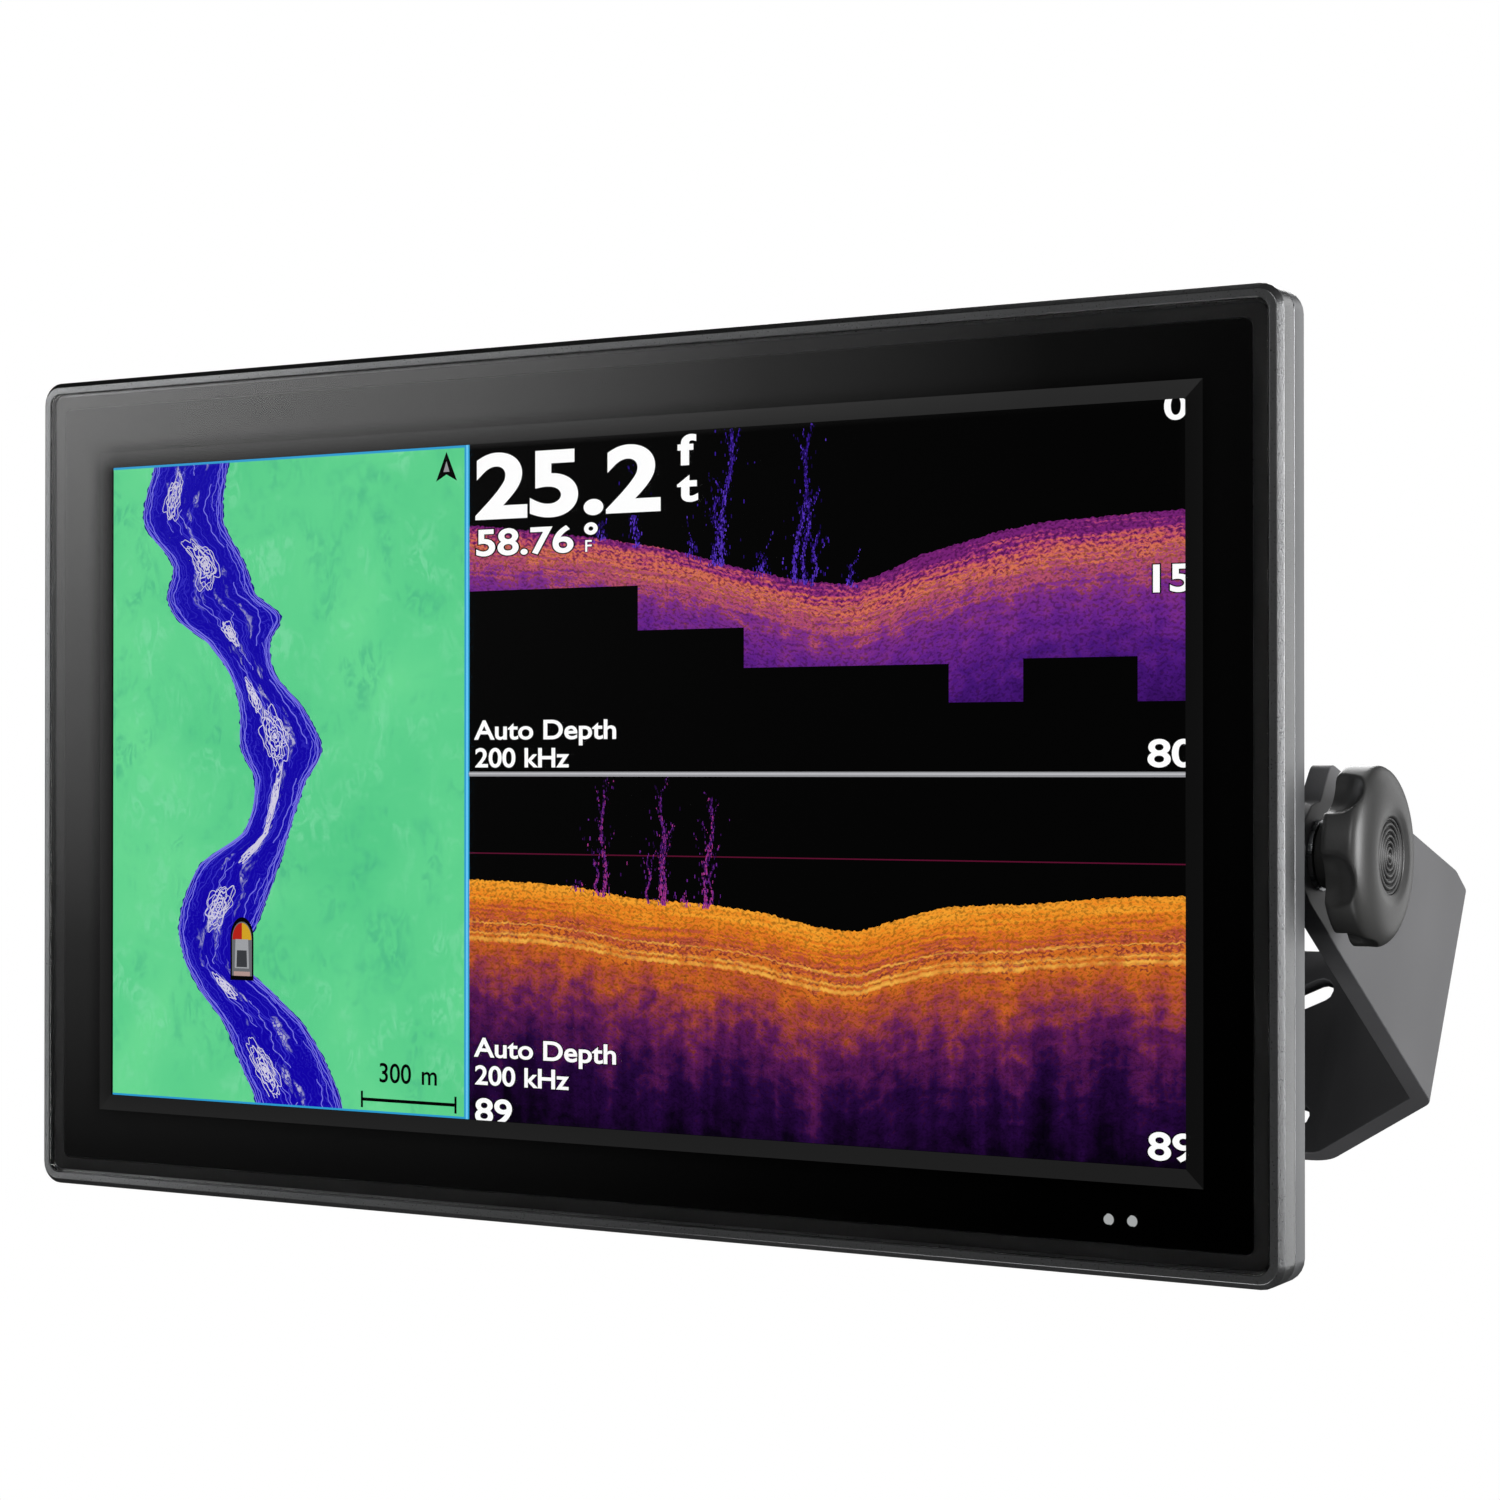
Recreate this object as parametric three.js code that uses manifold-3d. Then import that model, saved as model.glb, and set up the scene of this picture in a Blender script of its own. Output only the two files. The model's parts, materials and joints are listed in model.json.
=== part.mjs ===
// Fish finder: a touch-screen display head of the 21.5-inch class, clamped in a U-shaped gimbal
// bracket by two lobed knobs. Millimetres. The head's own frame has +X to the right, +Y to the
// back and +Z up, with the front glass at Y = 0. The part's origin is the centre of the bracket's
// mounting face.
import * as THREE from "three";
import { mergeVertices } from "three/addons/utils/BufferGeometryUtils.js";
import Module from "manifold-3d";

const wasm = await Module();
wasm.setup();

// ---- Driving dimensions ----
const GAP = 0.3; // between two pieces that touch
const HEAD_WIDTH = 563.5;
const HEAD_HEIGHT = 345;
const HEAD_CORNER = 9;
const FRAME_BACK = 11.4; // Y where the front frame ends
const SEAM = 0.6; // open line between the front frame and the rear cover
const FLANGE_BACK = 22.6; // Y of the rear cover's flange
const LIP = 5.25; // from the outer wall to the glass edge
const CHAMFER = 2.1;
const GLASS = 3; // thickness of the cover glass
const WINDOW = { width: 489, height: 267.6, x: 1, z: 0.8 }; // the picture area
const LEDGE = 20.75; // from the outer wall to the opening of the frame
const BOX = { width: 492, height: 280, corner: 18, back: 66, wall: 3 };
const PIVOT = { y: 69.3, z: -25.4 };
const BRACKET_LEAN = THREE.MathUtils.degToRad(31); // arms run back and down by this much
const ARM = { outer: 270, thickness: 8, bore: 8 };
const BEND = { near: 166, far: 231, base: 208 }; // corner segment, along and across the arms
const ARM_EDGES = { front: -19.5, rear: 77 }; // the bracket's width, across the arms
const SLOT = { inner: 146, outer: 193, radius: 5.5 };
const SOCKET_Z = -98;
const SCREW = { shank: 2, hole: 2.3, head: 4, headHeight: 2.4 };
const COUNTERBORE = { radius: 4.4, depth: 3.2 }; // sinks the cover screws' heads in the flange
const STUD = 3.9;
const STUD_HOLE = 4.2;
const STUD_TIP = 250; // from the middle of the head to the stud's inner end
const STUD_SEAT = { bore: 13, stud: 12.5 }; // how far the knob's bore and the stud run into the knob
const CAP_RING = { depth: 0.5, width: 1.9 }; // the grooves and ridges of the knob's cap
const CAP_RECESS = 3; // how deep the cap is set in the knob
const KNOB = { radius: 32.75, neck: 12, neckEnd: 11.5, front: 28, dome: 7, crest: 18.5, cap: 13.7, lobes: 6 };
const SCALLOP = { radius: 11.5, away: 38.3, straight: 16, end: 25.5, first: THREE.MathUtils.degToRad(14) };
const PAST = 50; // how far a cutter runs on beyond the piece it cuts
const FIN = { count: 19, pitch: 18, width: 4, height: 13, plate: 3.5, low: -10, high: 116 };
const EAR_SCREW_TIP = 238;

// ---- Helpers ----
const head = new THREE.Group();
const bracket = new THREE.Group();

function toSolid(geometry) {
  geometry.deleteAttribute("normal");
  geometry.deleteAttribute("uv");
  const merged = mergeVertices(geometry, 1e-4);
  const corners = merged.index.array;
  const triVerts = [];
  for (let i = 0; i < corners.length; i += 3) {
    const [a, b, c] = corners.slice(i, i + 3);
    if (a !== b && b !== c && c !== a) triVerts.push(a, b, c);
  }
  return new wasm.Manifold(
    new wasm.Mesh({
      numProp: 3,
      vertProperties: merged.attributes.position.array,
      triVerts: Uint32Array.from(triVerts),
    }),
  );
}

function toGeometry(solid) {
  const made = solid.getMesh();
  const geometry = new THREE.BufferGeometry();
  geometry.setAttribute("position", new THREE.BufferAttribute(made.vertProperties, 3));
  geometry.setIndex(new THREE.BufferAttribute(made.triVerts, 1));
  geometry.computeVertexNormals();
  return geometry;
}

function piece(parent, name, material, solid) {
  const mesh = new THREE.Mesh(toGeometry(solid), material);
  mesh.name = name;
  parent.add(mesh);
}

function finish(color, roughness, metalness) {
  return new THREE.MeshStandardMaterial({ color, roughness, metalness });
}

// Rounds one corner of a path, given the points before and after it.
function roundCorner(path, before, corner, after, radius, joined = true) {
  const into = corner.clone().sub(before).normalize();
  const out = after.clone().sub(corner).normalize();
  const turn = Math.atan2(into.cross(out), into.dot(out));
  const side = Math.sign(turn);
  const start = corner.clone().addScaledVector(into, -radius * Math.tan(Math.abs(turn) / 2));
  const normal = new THREE.Vector2(-into.y, into.x);
  const centre = start.clone().addScaledVector(normal, side * radius);
  const from = Math.atan2(start.y - centre.y, start.x - centre.x);
  // An arc joins itself only to an earlier line, so a path that was just started gets its line here.
  const started = path.curves.length === 0 && joined;
  if (started) path.lineTo(centre.x + radius * Math.cos(from), centre.y + radius * Math.sin(from));
  path.absarc(centre.x, centre.y, radius, from, from + turn, side < 0);
}

// A closed outline from [x, y, corner radius] points.
function outline(corners) {
  const points = corners.map(([x, y]) => new THREE.Vector2(x, y));
  const count = points.length;
  const path = new THREE.Shape();
  corners.forEach(([x, y, radius = 0], i) => {
    const next = points[(i + 1) % count];
    if (radius > 0) roundCorner(path, points.at(i - 1), points[i], next, radius, i > 0);
    else if (path.curves.length || i > 0) path.lineTo(x, y);
    else path.moveTo(x, y);
  });
  return path;
}

function rectangle(width, height, radius = 0, x = 0, y = 0) {
  const [w, h] = [width / 2, height / 2];
  return outline([
    [x - w, y - h, radius],
    [x + w, y - h, radius],
    [x + w, y + h, radius],
    [x - w, y + h, radius],
  ]);
}

// An outline pushed along an axis. Along y it is drawn in X-Z, along x in Y-Z, along z in X-Y.
function extruded(shape, axis, from, to, options = {}) {
  const settings = { depth: to - from, bevelEnabled: false, curveSegments: 3, ...options };
  const geometry = new THREE.ExtrudeGeometry(shape, settings);
  if (axis === "y") geometry.rotateX(Math.PI / 2).translate(0, to, 0);
  if (axis === "x") {
    const toY = new THREE.Vector3(0, 1, 0);
    const toZ = new THREE.Vector3(0, 0, 1);
    const toX = new THREE.Vector3(1, 0, 0);
    geometry.applyMatrix4(new THREE.Matrix4().makeBasis(toY, toZ, toX)).translate(from, 0, 0);
  }
  if (axis === "z") geometry.translate(0, 0, from);
  return toSolid(geometry);
}

// A turned piece from [along, radius] points, about a line parallel to an axis.
function turned(profile, axis, segments = 24, at = [0, 0, 0]) {
  const points = profile.map(([along, radius]) => new THREE.Vector2(radius, along));
  const geometry = new THREE.LatheGeometry(points, segments);
  if (axis === "x") geometry.rotateZ(-Math.PI / 2);
  geometry.translate(...at);
  return toSolid(geometry);
}

function rod(radius, axis, from, to, at, segments = 20) {
  return turned([[from, 0], [from, radius], [to, radius], [to, 0]], axis, segments, at);
}

function ring(inner, outer, axis, from, to, at, segments = 20) {
  const profile = [[from, inner], [from, outer], [to, outer], [to, inner], [from, inner]];
  return turned(profile, axis, segments, at);
}

// A rounded rectangular plate across Y. Its width and height shrink from the head's by an inset.
function plate(inset, from, to, radius) {
  return extruded(rectangle(HEAD_WIDTH - 2 * inset, HEAD_HEIGHT - 2 * inset, radius), "y", from, to);
}

// An extruded outline across Y with a chamfer at its front or its back end only.
function chamfered(shape, from, to, chamfer, end) {
  const bevel = {
    bevelEnabled: true,
    bevelThickness: chamfer,
    bevelSize: chamfer,
    bevelOffset: -chamfer,
    bevelSegments: 1,
  };
  const start = end === "front" ? from + chamfer : from - 2 * chamfer;
  const stop = end === "front" ? to + 2 * chamfer : to - chamfer;
  const whole = extruded(shape, "y", start, stop, bevel);
  return whole.intersect(plate(-PAST, from, to));
}

// ---- Finishes ----
const FRAME_METAL = finish("#a9abae", 0.35, 0.6);
const COVER_METAL = finish("#8f9194", 0.45, 0.5);
const BLACK_METAL = finish("#2b2c2e", 0.55, 0.4);
const DARK_PLASTIC = finish("#3a3b3d", 0.5, 0);
const BLACK_GLASS = finish("#101113", 0.08, 0);
const BLACK_INK = finish("#050506", 0.6, 0);
const RUBBER = finish("#1b1b1c", 0.85, 0);
const PALE_LENS = finish("#c9cbcb", 0.3, 0);
const SCREEN = finish("#10202c", 0.3, 0);
const MILKY = finish("#e8e8e4", 0.5, 0);
const TIN = finish("#b5b7b9", 0.4, 0.8);
const GREEN_BOARD = finish("#1e5a3a", 0.6, 0);
const BARE_ALUMINIUM = finish("#c0c2c4", 0.4, 0.8);
const BRASS = finish("#b08d4a", 0.35, 0.9);
const STEEL = finish("#8c8e90", 0.3, 0.9);
const NYLON = finish("#d9d7cf", 0.55, 0);

// ---- Front of the head: frame, glass, mask and picture stack ----
const glassInset = LIP;
const seatY = GLASS + 2 * GAP + 1; // the ledge that the gasket lies on
const maskInset = LIP + 6.5;
const lensHoles = [
  { name: "status_light_pipe", x: 216.3 },
  { name: "light_sensor_lens", x: 225.2 },
];
const LENS = { radius: 1.8, z: -152.5, foot: 2.8, footFront: 7.6, footBack: 8.7 };
const sideScrews = [-125, 0, 125].flatMap((z) => [[-266, z], [266, z]]);
const edgeScrews = [-150, 150].flatMap((x) => [[x, -156.5], [x, 156.5]]);
const coverScrews = [...sideScrews, ...edgeScrews];

function frontFrame() {
  const outer = rectangle(HEAD_WIDTH, HEAD_HEIGHT, HEAD_CORNER);
  const body = chamfered(outer, 0, FRAME_BACK, CHAMFER, "front");
  const glassSeat = plate(LIP - GAP, -1, seatY, 5);
  const opening = plate(LEDGE, -1, FRAME_BACK + 1, 4);
  const boardNotch = extruded(rectangle(46, 16, 2, 220.5, -151.5), "y", seatY - 1, FRAME_BACK + 1);
  const holes = coverScrews.map(([x, z]) =>
    rod(SCREW.hole, "y", 6.2, FRAME_BACK + 1, [x, 0, z], 8),
  );
  return [glassSeat, opening, boardNotch, ...holes].reduce((made, cut) => made.subtract(cut), body);
}
piece(head, "front_frame", FRAME_METAL, frontFrame());
piece(head, "cover_glass", BLACK_GLASS, plate(glassInset, 0, GLASS, 4.7));
const gasketOutside = plate(LIP + 1, GLASS + GAP, GLASS + GAP + 1, 4);
const gasketInside = plate(maskInset - GAP, GLASS, GLASS + 2, 3);
piece(head, "glass_gasket", RUBBER, gasketOutside.subtract(gasketInside));

function screenMask() {
  const sheet = plate(maskInset, GLASS + GAP, GLASS + GAP + 0.5, 3);
  const picture = rectangle(WINDOW.width, WINDOW.height, 1, WINDOW.x, WINDOW.z);
  const holes = lensHoles.map(({ x }) => rod(LENS.radius + 0.3, "y", 0, 9, [x, 0, LENS.z], 16));
  return [extruded(picture, "y", 0, 9), ...holes].reduce((made, cut) => made.subtract(cut), sheet);
}
piece(head, "screen_mask", BLACK_INK, screenMask());

// A slab of the picture stack, wider than the picture area by a margin on each side.
function stackSlab(margin, from, to) {
  const { width, height, x, z } = WINDOW;
  return extruded(rectangle(width + 2 * margin, height + 2 * margin, 2, x, z), "y", from, to);
}
piece(head, "lcd_panel", SCREEN, stackSlab(4, 4.2, 7.7));
piece(head, "light_guide", MILKY, stackSlab(4, 8, 11.5));
piece(head, "lcd_tray", TIN, stackSlab(7.5, 5, 13.3).subtract(stackSlab(5, 4, 11.8)));
for (const { name, x } of lensHoles) {
  const profile = [
    [GLASS + GAP, 0],
    [GLASS + GAP, LENS.radius],
    [LENS.footFront, LENS.radius],
    [LENS.footFront, LENS.foot],
    [LENS.footBack, LENS.foot],
    [LENS.footBack, 0],
  ];
  piece(head, name, PALE_LENS, turned(profile, "y", 16, [x, 0, LENS.z]));
}
piece(head, "indicator_board", GREEN_BOARD, extruded(rectangle(42, 12, 1, 220.5, -151.5), "y", 9, 10.6));

// ---- Rear cover, seal and what they close in ----
const coverFront = FRAME_BACK + SEAM;
const sealInset = 5.45;
const sealWidth = 4.6;
const ioPlate = { width: 300, height: 56, x: 4, thickness: 3 };
const sockets = [
  { name: "power_socket", x: 108, barrel: 9, pins: 4, pin: 1 },
  { name: "transducer_socket", x: 42, barrel: 12, pins: 8, pin: 0.8 },
  { name: "network_socket", x: -36, barrel: 8, pins: 5, pin: 0.6 },
  { name: "video_socket", x: -100, barrel: 10.5, pins: 6, pin: 0.8 },
];
const vent = { x: 190, z: SOCKET_Z, radius: 8 };
const earScrews = [-50, -1].map((z) => ({ y: 36, z }));

function rearCover() {
  const flangeShape = rectangle(HEAD_WIDTH, HEAD_HEIGHT, HEAD_CORNER);
  const flange = chamfered(flangeShape, coverFront, FLANGE_BACK, 1, "back");
  const boxShape = rectangle(BOX.width, BOX.height, BOX.corner);
  const box = chamfered(boxShape, FLANGE_BACK - 1, BOX.back, 8, "back");
  const flangeCavity = plate(LEDGE + 1, coverFront - 1, FLANGE_BACK - 3, 6);
  const inner = rectangle(BOX.width - 2 * BOX.wall, BOX.height - 2 * BOX.wall, BOX.corner - BOX.wall);
  const boxCavity = chamfered(inner, coverFront - 1, BOX.back - BOX.wall, 6.5, "back");
  const groove = plate(sealInset, coverFront - 1, coverFront + 3, 6).subtract(
    plate(sealInset + sealWidth, coverFront - 2, coverFront + 4, 4),
  );
  const screws = coverScrews.map(([x, z]) => rod(SCREW.hole, "y", 10, 30, [x, 0, z], 8));
  const sinks = coverScrews.map(([x, z]) =>
    rod(COUNTERBORE.radius, "y", FLANGE_BACK - COUNTERBORE.depth, FLANGE_BACK + 5, [x, 0, z], 16),
  );
  const ports = sockets.map(({ x, barrel }) => rod(barrel, "y", 50, 80, [x, 0, SOCKET_Z], 20));
  const breather = rod(4, "y", 50, 80, [vent.x, 0, vent.z], 16);
  const sides = [-1, 1].flatMap((side) =>
    earScrews.map(({ y, z }) => rod(SCREW.hole, "x", -20, 20, [(side * BOX.width) / 2, y, z], 8)),
  );
  const cuts = [flangeCavity, boxCavity, groove, breather, ...screws, ...sinks, ...ports, ...sides];
  return cuts.reduce((made, cut) => made.subtract(cut), flange.add(box));
}
piece(head, "rear_cover", COVER_METAL, rearCover());
const sealOutside = plate(sealInset + GAP, FRAME_BACK + GAP, coverFront + 2.7, 5.7);
const sealInside = plate(sealInset + sealWidth - GAP, FRAME_BACK, coverFront + 4, 4.3);
piece(head, "case_seal", RUBBER, sealOutside.subtract(sealInside));

function block(x0, x1, y0, y1, z0, z1) {
  return extruded(rectangle(x1 - x0, z1 - z0, 0, (x0 + x1) / 2, (z0 + z1) / 2), "y", y0, y1);
}
const mainBoard = block(-110, 110, 26, 27.6, -40, 110)
  .add(block(-20, 20, 27.5, 30, 20, 60))
  .add(block(-80, -45, 27.5, 35, 60, 100))
  .add(block(50, 90, 27.5, 31, -20, 10));
piece(head, "main_board", GREEN_BOARD, mainBoard);
const powerBoard = block(130, 225, 26, 27.6, -40, 80)
  .add(block(145, 175, 27.5, 47, 30, 60))
  .add(rod(9, "y", 27.5, 45, [200, 0, 0], 20));
piece(head, "power_board", GREEN_BOARD, powerBoard);
const spreader = block(-120, 120, 58.5, 62.5, 0, 115).add(block(-18, 18, 30.3, 59, 22, 58));
piece(head, "heat_spreader", BARE_ALUMINIUM, spreader);

// ---- Back of the head: cooling fins, sockets, vent and screws ----
function finnedPlate() {
  const half = FIN.width / 2;
  const root = BOX.back + GAP;
  const tip = root + FIN.height;
  const last = FIN.count - 1;
  const first = (-last / 2) * FIN.pitch;
  const corners = [[first - half, root]];
  for (let fin = last; fin >= 0; fin -= 1) {
    const x = first + fin * FIN.pitch;
    corners.push([x + half, fin === last ? root : root + FIN.plate]);
    corners.push([x + half, tip]);
    corners.push([x - half, tip]);
    if (fin > 0) corners.push([x - half, root + FIN.plate]);
  }
  return extruded(outline(corners), "z", FIN.low, FIN.high);
}
piece(head, "heat_sink", BLACK_METAL, finnedPlate());

function connectorPlate() {
  const shape = rectangle(ioPlate.width, ioPlate.height, 6, ioPlate.x, SOCKET_Z);
  const body = extruded(shape, "y", BOX.back + GAP, BOX.back + ioPlate.thickness);
  const holes = sockets.map(({ x, barrel }) => rod(barrel, "y", 50, 80, [x, 0, SOCKET_Z], 20));
  return holes.reduce((made, cut) => made.subtract(cut), body);
}
piece(head, "io_plate", BLACK_METAL, connectorPlate());

// A round panel socket: a barrel through the cover, a flange on the plate, and a mouth with a ring
// of pins and a key.
function socket({ x, barrel, pins, pin }) {
  const seat = BOX.back + ioPlate.thickness + GAP;
  const mouth = seat + 12;
  const bottom = mouth - 9;
  const pinTip = mouth - 2;
  const body = barrel - GAP;
  const profile = [
    [BOX.back - 12, 0],
    [BOX.back - 12, body],
    [seat, body],
    [seat, barrel + 5],
    [seat + 3.5, barrel + 5],
    [seat + 3.5, barrel + 1.5],
    [mouth, barrel + 1.5],
    [mouth, body - 1],
    [bottom, body - 1],
    [bottom, 0],
  ];
  const shell = turned(profile, "y", 20, [x, 0, SOCKET_Z]);
  const pinCircle = body * 0.5;
  const contacts = Array.from({ length: pins }, (_, i) => {
    const angle = ((i + 0.5) * 2 * Math.PI) / pins;
    const at = [x + pinCircle * Math.cos(angle), 0, SOCKET_Z + pinCircle * Math.sin(angle)];
    return rod(pin, "y", bottom - 1, pinTip, at, 8);
  });
  const keyTop = SOCKET_Z + body - 0.5;
  const key = block(x - 1, x + 1, bottom - 1, mouth - 0.5, keyTop - 2, keyTop);
  return [...contacts, key].reduce((made, part) => made.add(part), shell);
}
for (const each of sockets) piece(head, each.name, DARK_PLASTIC, socket(each));

const ventProfile = [
  [BOX.back - 8, 0],
  [BOX.back - 8, 3.7],
  [BOX.back + GAP, 3.7],
  [BOX.back + GAP, vent.radius],
  [BOX.back + 3, vent.radius],
  [BOX.back + 4, vent.radius - 1.5],
  [BOX.back + 4, 0],
];
piece(head, "pressure_vent", DARK_PLASTIC, turned(ventProfile, "y", 20, [vent.x, 0, vent.z]));

// A button-head screw with a hexagon recess. Its tip is the low end, its head rests on the face.
function screw(axis, face, tip, at) {
  const under = face + GAP;
  const top = under + SCREW.headHeight;
  const profile = [
    [tip, 0],
    [tip, SCREW.shank],
    [under, SCREW.shank],
    [under, SCREW.head],
    [top - 1.1, SCREW.head],
    [top, SCREW.head - 1.4],
    [top, 0],
  ];
  return turned(profile, axis, 12, at).subtract(rod(1.4, axis, top - 1.2, top + 1.2, at, 6));
}
coverScrews.forEach(([x, z], i) => {
  piece(head, `cover_screw_${i + 1}`, STEEL, screw("y", FLANGE_BACK - COUNTERBORE.depth, 7, [x, 0, z]));
});

// ---- Gimbal bracket: one bent plate ----
// Its band, drawn across X and along the arms, is cut to the arms' side outline.
function bentBand() {
  const reach = 40; // past the pivot, where the side outline ends it
  const bend = Math.atan2(BEND.far - BEND.near, ARM.outer - BEND.base);
  const nearShift = ARM.thickness * Math.tan((Math.PI / 2 - bend) / 2);
  const farShift = ARM.thickness * Math.tan(bend / 2);
  const innerX = ARM.outer - ARM.thickness;
  const outer = [
    [ARM.outer, -reach],
    [ARM.outer, BEND.near, 10],
    [BEND.base, BEND.far, 18],
  ];
  const inner = [
    [innerX, -reach],
    [innerX, BEND.near - nearShift, 2],
    [BEND.base - farShift, BEND.far - ARM.thickness, 10],
  ];
  const flip = (list) => list.map(([x, y, radius]) => [-x, y, radius]);
  const corners = [...outer, ...flip(outer).toReversed(), ...flip(inner), ...inner.toReversed()];
  return extruded(outline(corners), "z", ARM_EDGES.front - 1, ARM_EDGES.rear + 1);
}

// The arms' side outline: a round head at the pivot, a shoulder, and a taper to the full width.
function armOutline() {
  const end = BEND.far + 10;
  const shoulder = new THREE.Vector2(-5, 36);
  const widest = new THREE.Vector2(148, ARM_EDGES.rear);
  const beyond = new THREE.Vector2(end, ARM_EDGES.rear);
  const headRadius = -ARM_EDGES.front;
  const headStart = THREE.MathUtils.degToRad(117);
  const meets = new THREE.Vector2(Math.cos(headStart), Math.sin(headStart)).multiplyScalar(headRadius);
  const path = new THREE.Shape();
  path.moveTo(end, ARM_EDGES.front);
  path.lineTo(end, ARM_EDGES.rear);
  roundCorner(path, beyond, widest, shoulder, 14);
  roundCorner(path, widest, shoulder, meets, 6);
  path.absarc(0, 0, headRadius, headStart, 1.5 * Math.PI);
  return path;
}

// A slot with round ends between two points of the base.
function slot([x1, z1], [x2, z2], radius) {
  const angle = Math.atan2(z2 - z1, x2 - x1);
  const path = new THREE.Shape();
  path.absarc(x2, z2, radius, angle - Math.PI / 2, angle + Math.PI / 2);
  path.absarc(x1, z1, radius, angle + Math.PI / 2, angle + 1.5 * Math.PI);
  return extruded(path, "y", BEND.far - 20, BEND.far + 10);
}

function gimbalBracket() {
  const body = bentBand().intersect(extruded(armOutline(), "x", -HEAD_WIDTH, HEAD_WIDTH));
  const pivotBore = rod(ARM.bore, "x", -HEAD_WIDTH, HEAD_WIDTH, [0, 0, 0]);
  const slots = [-1, 1].flatMap((side) => [
    slot([side * SLOT.inner, 32], [side * SLOT.outer, 58], SLOT.radius),
    slot([side * SLOT.inner, -2], [side * SLOT.outer, -2], SLOT.radius),
  ]);
  return [pivotBore, ...slots].reduce((made, cut) => made.subtract(cut), body);
}
piece(bracket, "gimbal_bracket", BLACK_METAL, gimbalBracket());

// ---- Pivot hardware: made for the right side and mirrored for the left ----
const PIVOT_AT = [0, PIVOT.y, PIVOT.z];
const EAR = { inner: BOX.width / 2 + GAP, outer: 254.3, boss: 260, radius: 22, root: 26, spread: 38 };
const armInner = ARM.outer - ARM.thickness;

function pivotEar() {
  const across = PIVOT.y - EAR.root;
  const lean = Math.atan2(EAR.spread, across) - Math.asin(EAR.radius / Math.hypot(across, EAR.spread));
  const shape = outline([
    [EAR.root, PIVOT.z + EAR.spread, 4],
    [EAR.root, PIVOT.z - EAR.spread, 4],
    [PIVOT.y, PIVOT.z - EAR.spread + across * Math.tan(lean)],
    [PIVOT.y, PIVOT.z + EAR.spread - across * Math.tan(lean)],
  ]);
  const body = extruded(shape, "x", EAR.inner, EAR.outer)
    .add(rod(EAR.radius, "x", EAR.inner, EAR.outer, PIVOT_AT, 40))
    .add(rod(15, "x", EAR.outer - 1, EAR.boss, PIVOT_AT, 32));
  const holes = earScrews.map(({ y, z }) =>
    rod(SCREW.hole, "x", EAR.inner - 5, EAR.boss, [0, y, z], 8),
  );
  const bore = rod(6.8, "x", EAR.inner - 5, EAR.boss + 5, PIVOT_AT);
  return [bore, ...holes].reduce((made, cut) => made.subtract(cut), body);
}

// The clamping knob: a neck on the arm and a domed body, with scallops that run out towards its
// front rim and leave the lobes between them.
const knobBack = ARM.outer + GAP + 1.5 + GAP;
const knobShoulder = ARM.outer + KNOB.neckEnd;
const knobFront = ARM.outer + KNOB.front;
const KNOB_DISH = 0.8; // how far the middle of the front lies below its crest

// A quarter of an ellipse as [along, radius] points, from full radius to the tip.
function quarterRound(from, length, low, rise) {
  const steps = 5;
  return Array.from({ length: steps + 1 }, (_, i) => {
    const angle = (i * Math.PI) / (2 * steps);
    const radius = i === steps ? low : low + rise * Math.cos(angle);
    return [from + length * Math.sin(angle), radius];
  });
}

function knob() {
  const profile = [
    [knobBack, 0],
    [knobBack, KNOB.neck],
    [knobShoulder, KNOB.neck + 1],
    [knobShoulder, KNOB.radius - 2],
    [knobShoulder + 1.5, KNOB.radius],
    ...quarterRound(knobFront - KNOB.dome, KNOB.dome, KNOB.crest, KNOB.radius - KNOB.crest),
    [knobFront - KNOB_DISH, KNOB.cap],
    [knobFront - KNOB_DISH, 0],
  ];
  const body = turned(profile, "x", 40, PIVOT_AT);
  const straightEnd = ARM.outer + SCALLOP.straight;
  const roundEnd = SCALLOP.end - SCALLOP.straight;
  const ballEnd = [
    [knobShoulder - 5, 0],
    [knobShoulder - 5, SCALLOP.radius],
    ...quarterRound(straightEnd, roundEnd, 0, SCALLOP.radius),
  ];
  const scallops = Array.from({ length: KNOB.lobes }, (_, i) => {
    const angle = SCALLOP.first + (i * 2 * Math.PI) / KNOB.lobes;
    const y = PIVOT.y + Math.cos(angle) * SCALLOP.away;
    const z = PIVOT.z + Math.sin(angle) * SCALLOP.away;
    return turned(ballEnd, "x", 24, [0, y, z]);
  });
  const recess = rod(KNOB.cap + GAP, "x", knobFront - CAP_RECESS, knobFront + PAST, PIVOT_AT, 36);
  const studBore = rod(STUD_HOLE, "x", knobBack - PAST, knobBack + STUD_SEAT.bore, PIVOT_AT, 20);
  return [...scallops, recess, studBore].reduce((made, cut) => made.subtract(cut), body);
}

function knobCap() {
  const back = knobFront - CAP_RECESS + GAP;
  const face = knobFront - KNOB_DISH - 0.2;
  const { depth, width } = CAP_RING;
  const profile = [[back, 0], [back, KNOB.cap]];
  for (let radius = KNOB.cap; radius > 3 * width; radius -= 2 * width) {
    profile.push([face, radius], [face, radius - width]);
    profile.push([face - depth, radius - width], [face - depth, radius - 2 * width]);
  }
  profile.push([face - depth, 0]);
  return turned(profile, "x", 28, PIVOT_AT);
}

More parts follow.
